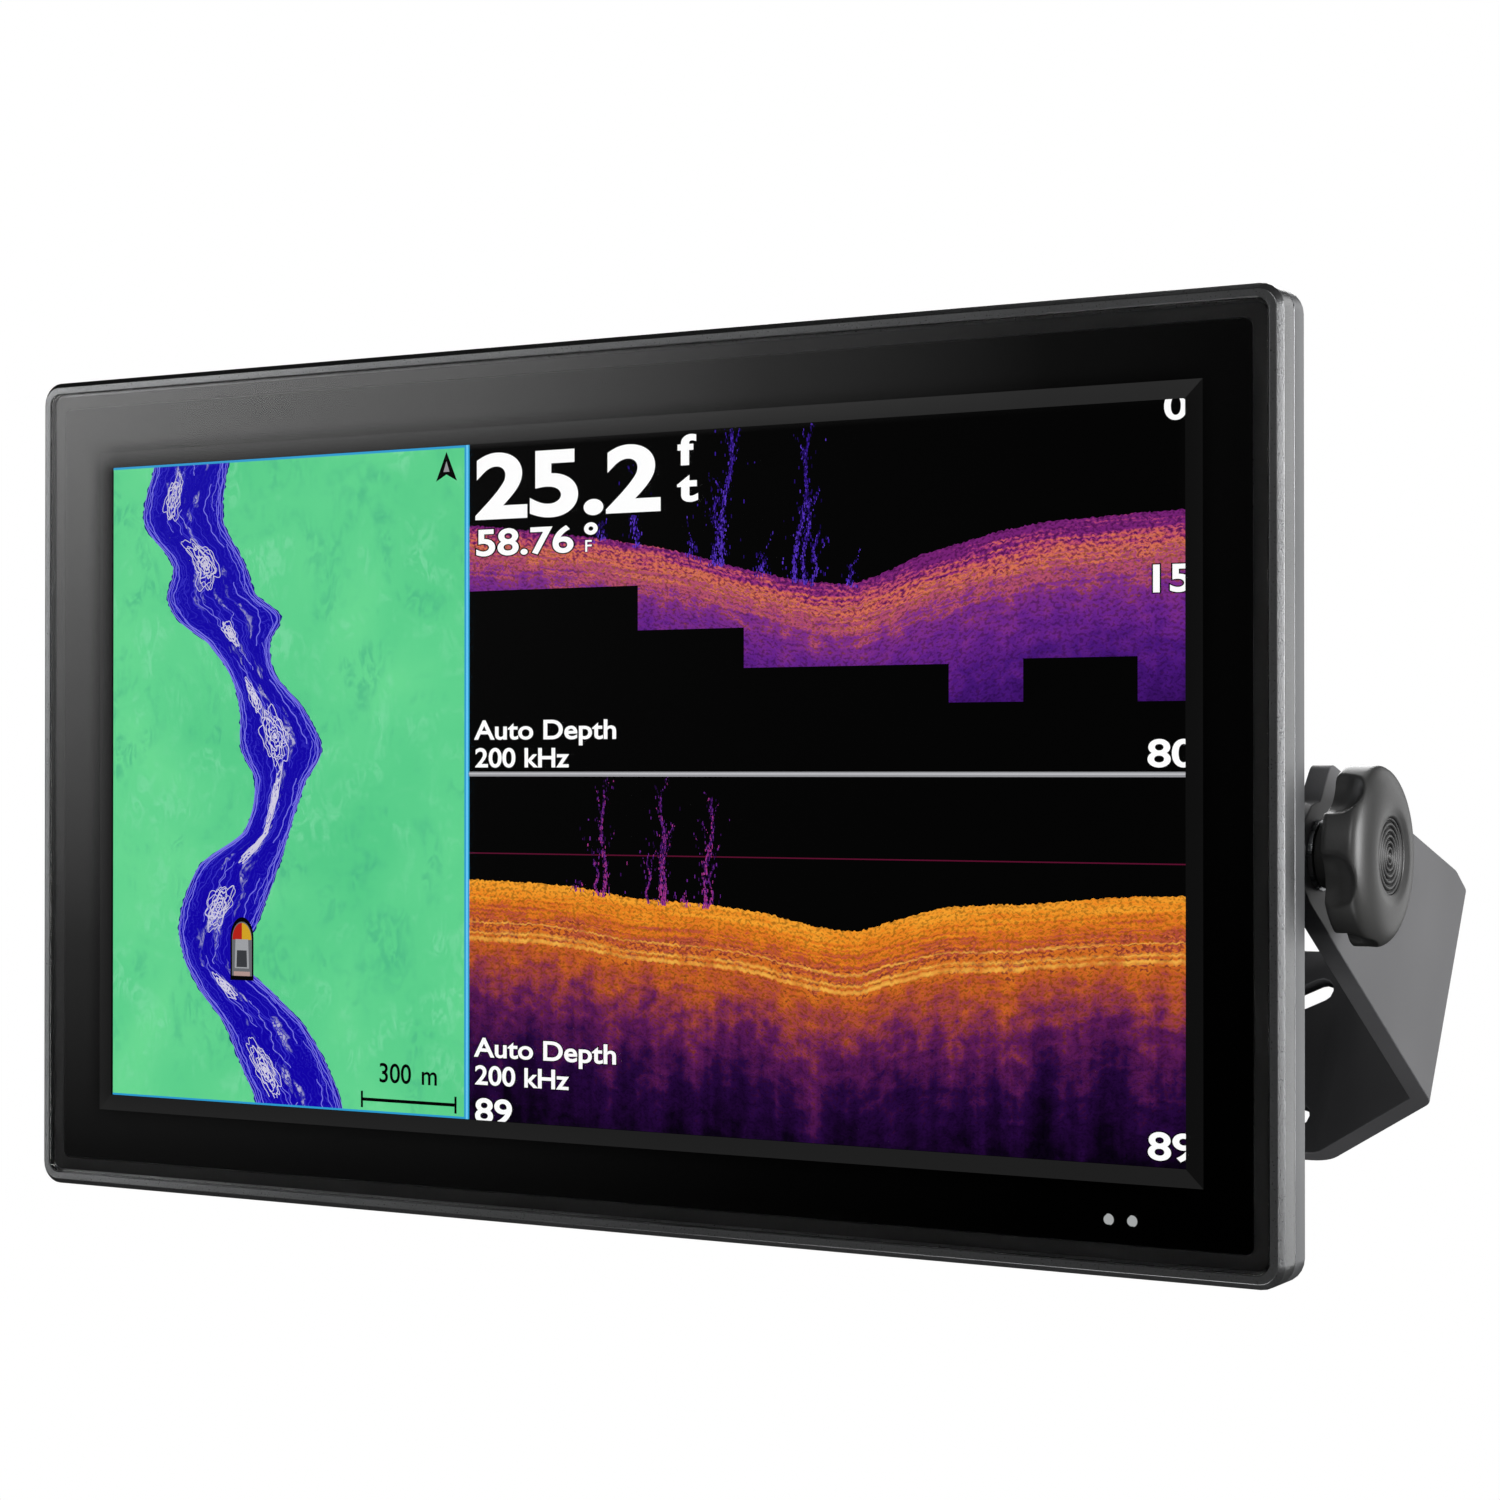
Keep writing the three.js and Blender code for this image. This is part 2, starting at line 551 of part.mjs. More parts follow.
for (const [side, direction] of [["left", -1], ["right", 1]]) {
  const hand = new THREE.Group();
  hand.scale.x = direction;
  head.add(hand);
  piece(hand, `${side}_pivot_ear`, BLACK_METAL, pivotEar());
  const insert = ring(STUD_HOLE, 6.5, "x", EAR.inner, EAR.boss - GAP, PIVOT_AT);
  piece(hand, `${side}_threaded_insert`, BRASS, insert);
  earScrews.forEach(({ y, z }, i) => {
    piece(hand, `${side}_ear_screw_${i + 1}`, STEEL, screw("x", EAR.outer, EAR_SCREW_TIP, [0, y, z]));
  });
  const pad = ring(4.6, 14, "x", EAR.boss + GAP, armInner - GAP, PIVOT_AT);
  piece(hand, `${side}_friction_pad`, RUBBER, pad);
  const washer = ring(4.5, 13, "x", ARM.outer + GAP, knobBack - GAP, PIVOT_AT);
  piece(hand, `${side}_knob_washer`, STEEL, washer);
  piece(hand, `${side}_knob`, DARK_PLASTIC, knob());
  const stud = rod(STUD, "x", STUD_TIP, knobBack + STUD_SEAT.stud, PIVOT_AT, 20);
  piece(hand, `${side}_knob_stud`, STEEL, stud);
  piece(hand, `${side}_knob_cap`, DARK_PLASTIC, knobCap());
  const arm = new THREE.Group();
  arm.scale.x = direction;
  bracket.add(arm);
  const bush = ring(4.5, ARM.bore - GAP, "x", armInner + GAP, ARM.outer - GAP, [0, 0, 0]);
  piece(arm, `${side}_arm_bush`, NYLON, bush);
}

// ---- Assembly: the bracket leans back from the pivot, the origin is its mounting face's centre ----
bracket.position.set(0, PIVOT.y, PIVOT.z);
bracket.rotation.x = -BRACKET_LEAN;
const baseCentre = new THREE.Vector3(0, BEND.far, (ARM_EDGES.front + ARM_EDGES.rear) / 2);
const group = new THREE.Group();
group.add(head, bracket);
group.position.copy(baseCentre).applyEuler(bracket.rotation).add(bracket.position).negate();

export default group;
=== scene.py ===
# Looks of the touch-screen fish finder: materials for every CAD part, the picture on the display,
# smooth knobs and small details. Metres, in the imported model's own frame.
import json
import math
import random

import bpy
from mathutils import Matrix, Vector


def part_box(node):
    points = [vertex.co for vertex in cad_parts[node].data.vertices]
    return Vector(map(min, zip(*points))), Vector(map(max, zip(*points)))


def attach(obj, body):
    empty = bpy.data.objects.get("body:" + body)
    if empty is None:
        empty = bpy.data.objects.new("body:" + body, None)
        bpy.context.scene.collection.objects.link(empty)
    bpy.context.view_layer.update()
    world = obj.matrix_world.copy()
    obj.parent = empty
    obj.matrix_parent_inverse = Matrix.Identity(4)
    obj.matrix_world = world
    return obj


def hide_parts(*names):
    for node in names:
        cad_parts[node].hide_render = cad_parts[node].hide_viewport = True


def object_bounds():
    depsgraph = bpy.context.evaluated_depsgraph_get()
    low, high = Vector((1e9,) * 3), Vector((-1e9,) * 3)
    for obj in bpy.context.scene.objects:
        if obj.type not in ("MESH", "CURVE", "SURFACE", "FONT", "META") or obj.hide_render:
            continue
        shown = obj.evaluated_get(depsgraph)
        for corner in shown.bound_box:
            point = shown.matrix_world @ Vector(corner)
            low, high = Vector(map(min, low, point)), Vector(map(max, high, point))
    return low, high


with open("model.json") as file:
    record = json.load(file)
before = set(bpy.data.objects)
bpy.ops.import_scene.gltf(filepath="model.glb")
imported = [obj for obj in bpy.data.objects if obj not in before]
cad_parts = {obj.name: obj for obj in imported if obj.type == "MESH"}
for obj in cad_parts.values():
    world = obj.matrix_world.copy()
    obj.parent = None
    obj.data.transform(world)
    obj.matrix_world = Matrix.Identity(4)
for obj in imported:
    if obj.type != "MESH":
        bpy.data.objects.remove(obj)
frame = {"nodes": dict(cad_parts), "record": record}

MM = 0.001
cad_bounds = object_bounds()
nodes = frame["nodes"]

glass_low, glass_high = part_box("cover_glass")
GLASS_FRONT = glass_low[1]
GLASS_CENTRE = Vector(((glass_low[0] + glass_high[0]) / 2, GLASS_FRONT, (glass_low[2] + glass_high[2]) / 2))


# ---------------------------------------------------------------- camera
CAMERA_FROM_GLASS = Vector((643.7, -989.7, 5.1)) * MM
camera_data = bpy.data.cameras.new("camera")
camera_data.lens = 73.2
camera_data.sensor_width = 36
camera = bpy.data.objects.new("camera", camera_data)
camera.location = GLASS_CENTRE + CAMERA_FROM_GLASS
camera.rotation_euler = (math.radians(90.394), 0, math.radians(30))
bpy.context.scene.collection.objects.link(camera)
bpy.context.scene.camera = camera


# ---------------------------------------------------------------- node trees
def linear(hex_colour, alpha=1.0):
    """A display colour such as '#64d796' as the linear values that shaders read."""
    parts = [int(hex_colour[i : i + 2], 16) / 255 for i in (1, 3, 5)]
    return tuple(p / 12.92 if p <= 0.04045 else ((p + 0.055) / 1.055) ** 2.4 for p in parts) + (alpha,)


class Tree:
    """A short way to write a material's nodes: each method adds one node and returns its output."""

    def __init__(self, name):
        self.material = bpy.data.materials.new(name)
        self.material.use_nodes = True
        self.tree = self.material.node_tree
        self.shader = self.tree.nodes["Principled BSDF"]

    @classmethod
    def of(cls, material):
        """The tree of a material that is already made."""
        tree = cls.__new__(cls)
        tree.material, tree.tree = material, material.node_tree
        tree.shader = tree.tree.nodes["Principled BSDF"]
        return tree

    def put(self, socket, value):
        if isinstance(value, bpy.types.NodeSocket):
            self.tree.links.new(value, socket)
        else:
            socket.default_value = value

    def node(self, kind, output=0, settings=None, **inputs):
        node = self.tree.nodes.new(kind)
        for key, value in (settings or {}).items():
            setattr(node, key, value)
        for key, value in inputs.items():
            self.put(node.inputs[key.replace("_", " ")], value)
        return node.outputs[output]

    def math(self, operation, a, b=0.0, clamp=False):
        node = self.tree.nodes.new("ShaderNodeMath")
        node.operation = operation
        node.use_clamp = clamp
        self.put(node.inputs[0], a)
        self.put(node.inputs[1], b)
        return node.outputs[0]

    def place(self, stretch=(1, 1, 1), uv=False):
        """Where a point is, on the object or on its UV map, stretched."""
        source = self.coordinates("UV" if uv else "Object")
        return self.node("ShaderNodeMapping", Vector=source, Scale=stretch)

    def coordinates(self, kind):
        """Texture coordinates of a kind, such as 'Object' or 'Normal'."""
        return self.tree.nodes.new("ShaderNodeTexCoord").outputs[kind]

    def split(self, vector):
        """The three parts of a vector."""
        node = self.tree.nodes.new("ShaderNodeSeparateXYZ")
        self.put(node.inputs[0], vector)
        return tuple(node.outputs)

    def noise(self, vector, scale, detail=3.0, distortion=0.0):
        shape = {"Scale": scale, "Detail": detail, "Distortion": distortion}
        return self.node("ShaderNodeTexNoise", Vector=vector, **shape)

    def ramp(self, factor, stops, interpolation="LINEAR"):
        node = self.tree.nodes.new("ShaderNodeValToRGB")
        node.color_ramp.interpolation = interpolation
        elements = node.color_ramp.elements
        while len(elements) < len(stops):
            elements.new(0.5)
        for element, (position, colour) in zip(elements, stops):
            element.position = position
            element.color = colour if isinstance(colour, tuple) else (colour, colour, colour, 1)
        self.put(node.inputs[0], factor)
        return node.outputs[0]

    def mix(self, factor, a, b, blend="MIX"):
        node = self.tree.nodes.new("ShaderNodeMix")
        node.data_type = "RGBA"
        node.blend_type = blend
        self.put(node.inputs[0], factor)
        self.put(node.inputs[6], a)
        self.put(node.inputs[7], b)
        return node.outputs[2]

    def bump(self, height, strength, distance):
        made = self.node("ShaderNodeBump", Height=height, Strength=strength, Distance=distance)
        self.put(self.shader.inputs["Normal"], made)

    def set(self, **inputs):
        for key, value in inputs.items():
            self.put(self.shader.inputs[key.replace("_", " ")], value)
        return self

    def glow(self, colour, strength=1.0):
        """Makes the surface a lit one, with light of its own and no gloss, and returns its material."""
        self.set(Base_Color=(0, 0, 0, 1), Roughness=1.0)
        self.set(Emission_Color=colour, Emission_Strength=strength)
        self.shader.inputs["Specular IOR Level"].default_value = 0.0
        return self.material


ROUGHNESS_SPREAD = 0.08  # how far the grain moves a surface's roughness, either way


def moulded(name, dark, light, roughness, metallic=0.0, grain=900, depth=0.00004, wear=None):
    """A painted, moulded or blasted surface: fine grain, slow colour change and worn edges."""
    tree = Tree(name)
    fine = tree.noise(tree.place(), grain, 4)
    slow = tree.noise(tree.place(), 14, 2)
    colour = tree.mix(tree.ramp(slow, [(0.3, 0.0), (0.7, 1.0)]), linear(dark), linear(light))
    colour = tree.mix(0.25, colour, tree.ramp(fine, [(0.3, 0.35), (0.7, 1.0)]), "MULTIPLY")
    if wear:
        sharpness = tree.tree.nodes.new("ShaderNodeNewGeometry").outputs["Pointiness"]
        edges = tree.ramp(sharpness, [(0.54, 0.0), (0.62, 1.0)])
        patches = tree.ramp(tree.noise(tree.place(), 160, 3), [(0.42, 0.0), (0.6, 1.0)])
        scuffs = tree.math("MULTIPLY", edges, patches)
        colour = tree.mix(scuffs, colour, linear(wear))
    low, high = roughness - ROUGHNESS_SPREAD, roughness + ROUGHNESS_SPREAD
    rough = tree.node("ShaderNodeMapRange", Value=fine, To_Min=low, To_Max=high)
    tree.set(Base_Color=colour, Roughness=rough, Metallic=metallic)
    tree.bump(fine, 0.5, depth)
    return tree.material


def glowing(name, colour, strength=1.0, uneven=0.04):
    """A glowing area with a faint unevenness of tone: a lit area of the display, or painted light where a
    part that is no lamp is made to glow.
    """
    tree = Tree(name)
    patch = tree.noise(tree.place(), 9, 2)
    tone = tree.ramp(patch, [(0.3, 1.0 - uneven), (0.7, 1.0)])
    lit = tree.mix(1.0, linear(colour), tone, "MULTIPLY")
    return tree.glow(lit, strength)


def brushed(name, dark, light, roughness, stretch):
    tree = Tree(name)
    lines = tree.noise(tree.place(stretch), 60, 5)
    colour = tree.mix(lines, linear(dark), linear(light))
    rough = tree.node("ShaderNodeMapRange", Value=lines, To_Min=roughness - 0.1, To_Max=roughness + 0.12)
    tree.set(Base_Color=colour, Roughness=rough, Metallic=1.0)
    tree.bump(lines, 0.3, 0.00002)
    return tree.material


def clear_glass():
    tree = Tree("cover_glass")
    smears = tree.noise(tree.place((1, 1, 2)), 6, 4)
    rough = tree.node("ShaderNodeMapRange", Value=smears, To_Min=0.0, To_Max=0.012)
    tree.set(Base_Color=(1, 1, 1, 1), Roughness=rough, Transmission_Weight=1.0, IOR=1.45)
    return tree.material


def circuit_board():
    tree = Tree("circuit_board")
    cells = tree.node("ShaderNodeTexVoronoi", Vector=tree.place(), Scale=220)
    tracks = tree.ramp(cells, [(0.25, 1.0), (0.3, 0.0)])
    colour = tree.mix(tracks, linear("#0d3b22"), linear("#2d7a48"))
    tree.set(Base_Color=colour, Roughness=0.4)
    tree.bump(tracks, 0.4, 0.00003)
    return tree.material


finishes = {
    "frame_metal": moulded(
        "frame_metal", "#7e7f80", "#8a8b8c", 0.30, 0.85, grain=1500, depth=0.00010, wear="#a6a6a6"
    ),
    "cover_metal": moulded(
        "cover_metal", "#77787a", "#828385", 0.38, 0.7, grain=1300, depth=0.00005, wear="#9c9c9c"
    ),
    "black_aluminium": moulded("black_aluminium", "#232427", "#303134", 0.42, 0.6, wear="#77787a"),
    "powder_coat": moulded("powder_coat", "#555557", "#5d5d5f", 0.5, grain=1800, wear="#8a8b8d"),
    "knob_plastic": moulded("knob_plastic", "#343434", "#3e3e3d", 0.40, grain=1400),
    "dark_plastic": moulded("dark_plastic", "#1b1c1e", "#25262a", 0.45, wear="#4a4b4d"),
    "cover_glass": clear_glass(),
    "black_ink": moulded("black_ink", "#010101", "#020202", 0.8, depth=0.00001),
    "display": moulded("display", "#040507", "#07090c", 0.5, depth=0.00001),
    "milky_plastic": moulded("milky_plastic", "#dcdcd8", "#eeeeea", 0.5),
    # The pale lenses glow with painted light: they are no lamps, and the glow stands in for light falling on
    # them behind the glass.
    "pale_lens": glowing("pale_lens", "#a8abab", 1.0),
    "rubber": moulded("rubber", "#101011", "#1b1b1c", 0.75, grain=700),
    "tin_plate": brushed("tin_plate", "#8e9092", "#b9bbbd", 0.35, (30, 1, 1)),
    "bare_aluminium": brushed("bare_aluminium", "#9fa1a3", "#cfd1d3", 0.35, (1, 1, 30)),
    "circuit_board": circuit_board(),
    "brass": brushed("brass", "#8f6f33", "#c9a25a", 0.3, (30, 1, 1)),
    "stainless_steel": brushed("stainless_steel", "#8d8f91", "#c3c5c7", 0.28, (1, 6, 6)),
    "nylon": moulded("nylon", "#cfcdc5", "#dfddd5", 0.5, grain=400),
}


def paint_shade_on_chamfers(material):
    """Paints shade on the sloping faces between the front and the sides: their colour is darkened by the way
    they face.
    """
    tree = Tree.of(material)
    x, y, z = (tree.math("ABSOLUTE", part) for part in tree.split(tree.coordinates("Normal")))
    slope = tree.math("MULTIPLY", tree.math("ADD", x, z), y)
    tone = tree.ramp(slope, [(0.25, 1.0), (0.42, 0.62)])
    base = tree.shader.inputs["Base Color"]
    tree.put(base, tree.mix(1.0, base.links[0].from_socket, tone, "MULTIPLY"))


# Painted shade: the frame's sloping faces get a darker colour by the way they face.
paint_shade_on_chamfers(finishes["frame_metal"])

for name in ("black_ink", "display"):
    finishes[name].node_tree.nodes["Principled BSDF"].inputs["Specular IOR Level"].default_value = 0.0


# ---------------------------------------------------------------- CAD parts
ROUNDING = {"gimbal_bracket": 0.5, "front_frame": 0.2, "rear_cover": 0.4, "heat_sink": 0.4, "io_plate": 0.4}


def finish_part(name, slot):
    """Gives a CAD part its material, smooth round stretches and a fine rounding on its edges."""
    part = nodes[name]
    part.data.materials.clear()
    part.data.materials.append(finishes[slot])
    weld = part.modifiers.new("weld", "WELD")
    weld.merge_threshold = 0.00001
    rounding = part.modifiers.new("rounding", "BEVEL")
    rounding.width = ROUNDING.get(name, 0.12) * MM
    rounding.segments = 2
    rounding.limit_method = "ANGLE"
    rounding.angle_limit = math.radians(35)
    rounding.use_clamp_overlap = False
    even = part.modifiers.new("even_shading", "WEIGHTED_NORMAL")
    even.mode = "FACE_AREA"
    even.weight = 100
    part.data.polygons.foreach_set("use_smooth", [True] * len(part.data.polygons))


for entry in frame["record"]["subparts"]:
    finish_part(entry["node"], entry["material_slot"])


def piece(name, vertices, faces, material, body, uvs=None, smooth=False):
    """A new mesh object that rides on a body. uvs holds one (u, v) pair for each vertex."""
    mesh = bpy.data.meshes.new(name)
    mesh.from_pydata([tuple(v) for v in vertices], [], faces)
    if uvs:
        layer = mesh.uv_layers.new(name="UVMap")
        for loop in mesh.loops:
            layer.data[loop.index].uv = uvs[loop.vertex_index]
    mesh.materials.append(material)
    mesh.polygons.foreach_set("use_smooth", [smooth] * len(mesh.polygons))
    mesh.update()
    made = bpy.data.objects.new(name, mesh)
    bpy.context.scene.collection.objects.link(made)
    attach(made, body)
    return made


# ---------------------------------------------------------------- knobs
PIVOT_Z = sum(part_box("right_knob_stud")[side][2] for side in (0, 1)) / 2
PIVOT_Y = sum(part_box("right_knob_stud")[side][1] for side in (0, 1)) / 2
KNOB_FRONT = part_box("right_knob")[1][0]
KNOB_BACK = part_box("right_knob")[0][0]
RIM, CREST, CAP, NECK = 32.6 * MM, 18.5 * MM, 13.9 * MM, 12 * MM
SHOULDER = KNOB_FRONT - 16.5 * MM
DOME = 6.4 * MM
LOBES = 6
SCALLOP = {"radius": 13 * MM, "away": 39.6 * MM, "first": math.radians(14)}
SCALLOP_STRAIGHT = KNOB_FRONT - 13 * MM
SCALLOP_END = KNOB_FRONT - 1.6 * MM
RIM_ROUND = 1.8 * MM
QUARTER = [i * math.pi / 8 for i in range(5)]
DOME_TURN = [i * math.pi / 32 for i in range(17)]
STUD_CLEAR = 4.2 * MM
SIDES = 200


def knob_profile():
    """(x, radius) pairs of the knob's side, from the back of its neck to the rim of its cap recess."""
    rows = [(KNOB_BACK, STUD_CLEAR), (KNOB_BACK, NECK - 0.6 * MM), (KNOB_BACK + 0.6 * MM, NECK)]
    rows += [(SHOULDER - 1.2 * MM, NECK), (SHOULDER - 0.3 * MM, NECK + 0.3 * MM), (SHOULDER, NECK + 1.2 * MM)]
    rows += [
        (SHOULDER, NECK + (RIM - NECK - RIM_ROUND) * k / 6 + 1.2 * MM * (1 - k / 6)) for k in range(1, 7)
    ]
    rows += [
        (SHOULDER + RIM_ROUND * (1 - math.cos(a)), RIM - RIM_ROUND * (1 - math.sin(a))) for a in QUARTER[1:]
    ]
    start = SHOULDER + RIM_ROUND
    rows += [(start + (KNOB_FRONT - DOME - start) * k / 9, RIM) for k in range(1, 10)]
    rows += [
        (KNOB_FRONT - DOME + DOME * math.sin(a), CREST + (RIM - CREST) * math.cos(a)) for a in DOME_TURN[1:]
    ]
    rows += [
        (KNOB_FRONT - 0.5 * MM * (1 - math.cos(k * math.pi / 4)), CREST - (CREST - CAP) * k / 4)
        for k in range(1, 5)
    ]
    rows += [(KNOB_FRONT - 1.3 * MM, CAP), (KNOB_FRONT - 2.5 * MM, CAP)]
    return rows


def scalloped(x, radius, angle):
    """The radius after the scallops are cut, with a soft edge where the cut meets the side."""
    if x < SHOULDER - 0.1 * MM or radius < NECK + 2 * MM:
        return radius
    if x >= SCALLOP_END:
        return radius
    along = max(0.0, (x - SCALLOP_STRAIGHT) / (SCALLOP_END - SCALLOP_STRAIGHT))
    cut = SCALLOP["radius"] * math.sqrt(1 - along**2)
    step = 2 * math.pi / LOBES
    off = (angle - SCALLOP["first"] + step / 2) % step - step / 2
    reach = SCALLOP["away"] * math.sin(abs(off))
    if reach >= cut:
        return radius
    edge = SCALLOP["away"] * math.cos(off) - math.sqrt(cut**2 - reach**2)
    soft = 0.4 * MM
    blend = max(soft - abs(radius - edge), 0.0) / soft
    return min(radius, edge) - blend**2 * soft / 4


def mirrored(x, side):
    return x if side == "right" else -x


def turned_mesh(name, rows, side, body, material, cut=None, closed_tip=False):
    """A mesh round the pivot line from (x, radius) rows; cut changes a radius by place and angle."""
    vertices, faces = [], []
    for x, radius in rows:
        for k in range(SIDES):
            angle = 2 * math.pi * k / SIDES
            r = cut(x, radius, angle) if cut else radius
            vertices.append((mirrored(x, side), PIVOT_Y + r * math.cos(angle), PIVOT_Z + r * math.sin(angle)))
    for i in range(len(rows) - 1):
        for k in range(SIDES):
            a, b = i * SIDES + k, i * SIDES + (k + 1) % SIDES
            face = (a, b, b + SIDES, a + SIDES)
            faces.append(face if side == "right" else face[::-1])
    if closed_tip:
        last = [(len(rows) - 1) * SIDES + k for k in range(SIDES)]
        faces.append(tuple(last if side == "right" else reversed(last)))
    return piece(name, vertices, faces, material, body, smooth=True)


CAP_FACE_RADIUS = CAP - 0.25 * MM
RING_PITCH = 2.15 * MM


def cap_rows():
    """The cap's face: a flat rim and six rounded grooves round a small dished middle."""
    face, pitch, depth = KNOB_FRONT - 1.25 * MM, RING_PITCH, 0.9 * MM
    outer = CAP_FACE_RADIUS
    rows = [(KNOB_FRONT - 2.6 * MM, outer), (face - 0.2 * MM, outer), (face, outer - 0.25 * MM)]
    steps = 72
    for i in range(1, steps + 1):
        radius = (outer - 0.6 * MM) * (1 - i / (steps + 1))
        wave = 0.5 - 0.5 * math.cos(2 * math.pi * (outer - radius) / pitch)
        rows.append((face - depth * wave, radius))
    return rows


def plastic_with_painted_groove_shade():
    """The cap's plastic with painted shade in its grooves: the colour darkens in rings, in step with the
    grooves of cap_rows().
    """
    material = moulded("cap_plastic", "#4a4a4a", "#565656", 0.5, grain=1400, depth=0.00003)
    tree = Tree.of(material)
    _, y, z = tree.split(tree.coordinates("Object"))
    off_y = tree.math("SUBTRACT", y, PIVOT_Y)
    off_z = tree.math("SUBTRACT", z, PIVOT_Z)
    squares = tree.math("ADD", tree.math("MULTIPLY", off_y, off_y), tree.math("MULTIPLY", off_z, off_z))
    radius = tree.math("SQRT", squares)
    turns = tree.math("DIVIDE", tree.math("SUBTRACT", CAP_FACE_RADIUS, radius), RING_PITCH)
    wave = tree.math("COSINE", tree.math("MULTIPLY", turns, 2 * math.pi))
    # Painted shade: the grooves get a darker colour, the ridges keep theirs.
    shade = tree.ramp(tree.math("ADD", tree.math("MULTIPLY", wave, 0.5), 0.5), [(0.35, 0.06), (0.85, 1.0)])
    base = tree.shader.inputs["Base Color"]
    tree.put(base, tree.mix(1.0, base.links[0].from_socket, shade, "MULTIPLY"))
    return material


CAP_PLASTIC = plastic_with_painted_groove_shade()
for side in ("left", "right"):
    plastic = finishes["knob_plastic"]
    knob_mesh = turned_mesh(f"{side}_knob_smooth", knob_profile(), side, f"{side}_knob", plastic, scalloped)
    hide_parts(f"{side}_knob")
    cap_mesh = turned_mesh(
        f"{side}_knob_cap_smooth", cap_rows(), side, f"{side}_knob", CAP_PLASTIC, closed_tip=True
    )
    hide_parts(f"{side}_knob_cap")


# ---------------------------------------------------------------- display picture
mask_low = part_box("screen_mask")[0]
panel_low, panel_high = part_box("lcd_panel")
PANEL_MARGIN = 4 * MM
WINDOW_LEFT = panel_low[0] + PANEL_MARGIN
WINDOW_TOP = panel_high[2] - PANEL_MARGIN
WINDOW_WIDTH = panel_high[0] - PANEL_MARGIN - WINDOW_LEFT
WINDOW_HEIGHT = WINDOW_TOP - panel_low[2] - PANEL_MARGIN
PANEL_FACE = panel_low[1]
LAYER = 0.03 * MM  # each drawn layer lies this much in front of the one below


def at(across, down, layer):
    """A point of the picture: fractions of the window from its left and its top."""
    y = PANEL_FACE - 0.02 * MM - layer * LAYER
    return Vector((WINDOW_LEFT + across * WINDOW_WIDTH, y, WINDOW_TOP - down * WINDOW_HEIGHT))


def area(name, corners, layer, material, uvs=None):
    """A flat patch of the picture from its corners, listed clockwise as seen from the front."""
    points = [at(across, down, layer) for across, down in corners]
    return piece(name, points, [tuple(reversed(range(len(points))))], material, "head", uvs)


def rectangle(name, left, top, right, bottom, layer, material):
    return area(name, [(left, top), (right, top), (right, bottom), (left, bottom)], layer, material)


def smooth_value(points, x):
    """The value at x of a smooth curve through (x, value...) rows."""
    rows = sorted(points)
    i = max(1, min(len(rows) - 1, next((k for k, row in enumerate(rows) if row[0] >= x), len(rows) - 1)))
    before, start, end, after = rows[max(i - 2, 0)], rows[i - 1], rows[i], rows[min(i + 1, len(rows) - 1)]
    t = (x - start[0]) / (end[0] - start[0])
    return [
        0.5 * (2 * s + (e - b) * t + (2 * b - 5 * s + 4 * e - a) * t**2 + (3 * s - b - 3 * e + a) * t**3)
        for b, s, e, a in zip(before[1:], start[1:], end[1:], after[1:])
    ]


MAP_SHARE = 0.379  # of the picture's width
SPLIT = 0.489  # where the two sonar views meet


def terrain():
    """Green land with faint relief: slow tone changes, mottled hollows and short drainage lines."""
    tree = Tree("map_land")
    place = tree.place()
    hills = tree.noise(place, 30, 8, 1.2)
    patches = tree.noise(place, 11, 3, 0.5)
    fine = tree.noise(tree.place((1, 1, 0.6)), 150, 5, 2.0)
    greens = [(0.3, linear("#58d08c")), (0.5, linear("#62d792")), (0.7, linear("#6fe098"))]
    colour = tree.ramp(patches, greens)
    for hill_stops, fine_stops, tone in (
        ([(0.34, 0.7), (0.5, 0.0)], [(0.42, 0.0), (0.6, 0.8)], "#48b488"),
        ([(0.52, 0.0), (0.66, 0.5)], [(0.45, 0.0), (0.6, 1.0)], "#86e3ae"),
    ):
        relief = tree.math("MULTIPLY", tree.ramp(hills, hill_stops), tree.ramp(fine, fine_stops))
        colour = tree.mix(relief, colour, linear(tone))
    return tree.glow(colour)


def river_water():
    """Contour lines that follow the banks, over deep blue, with pale shoals in midstream."""
    tree = Tree("map_river")
    uv = tree.place(uv=True)
    across = tree.math("ABSOLUTE", tree.split(uv)[0])
    wobble = tree.noise(tree.place((60, 1, 60)), 1.6, 4, 1.5)
    sway = tree.math("MULTIPLY", tree.math("SUBTRACT", wobble, 0.5), 0.7)
    depth = tree.math("ADD", tree.math("SUBTRACT", 1.0, across), sway)
    bands = tree.math("FRACT", tree.math("MULTIPLY", depth, 9.0))
    lines = tree.ramp(bands, [(0.0, 0.0), (0.42, 0.15), (0.5, 1.0), (0.62, 1.0), (0.72, 0.0)])
    broken = tree.ramp(tree.noise(tree.place((260, 1, 260)), 1.0, 3), [(0.35, 0.1), (0.55, 1.0)])
    near_bank = tree.ramp(depth, [(0.12, 1.0), (0.5, 0.2)])
    colour = tree.mix(tree.math("MULTIPLY", near_bank, lines), linear("#1204aa"), linear("#3c35cf"))
    shoal_place = tree.noise(tree.node("ShaderNodeMapping", Vector=uv, Scale=(0.25, 1.0, 1.0)), 13.0, 2)
    middle = tree.ramp(depth, [(0.55, 0.0), (0.7, 0.5)])
    shoals = tree.math("MULTIPLY", tree.ramp(shoal_place, [(0.54, 0.0), (0.6, 1.0)]), middle)
    dashes = tree.math("MULTIPLY", broken, tree.ramp(bands, [(0.3, 0.1), (0.5, 1.0)]))
    white = tree.math("MULTIPLY", shoals, dashes)
    colour = tree.mix(white, colour, linear("#f4f2fb"))
    colour = tree.mix(tree.ramp(across, [(0.93, 0.0), (0.97, 1.0)]), colour, linear("#1b1785"))
    return tree.glow(colour)


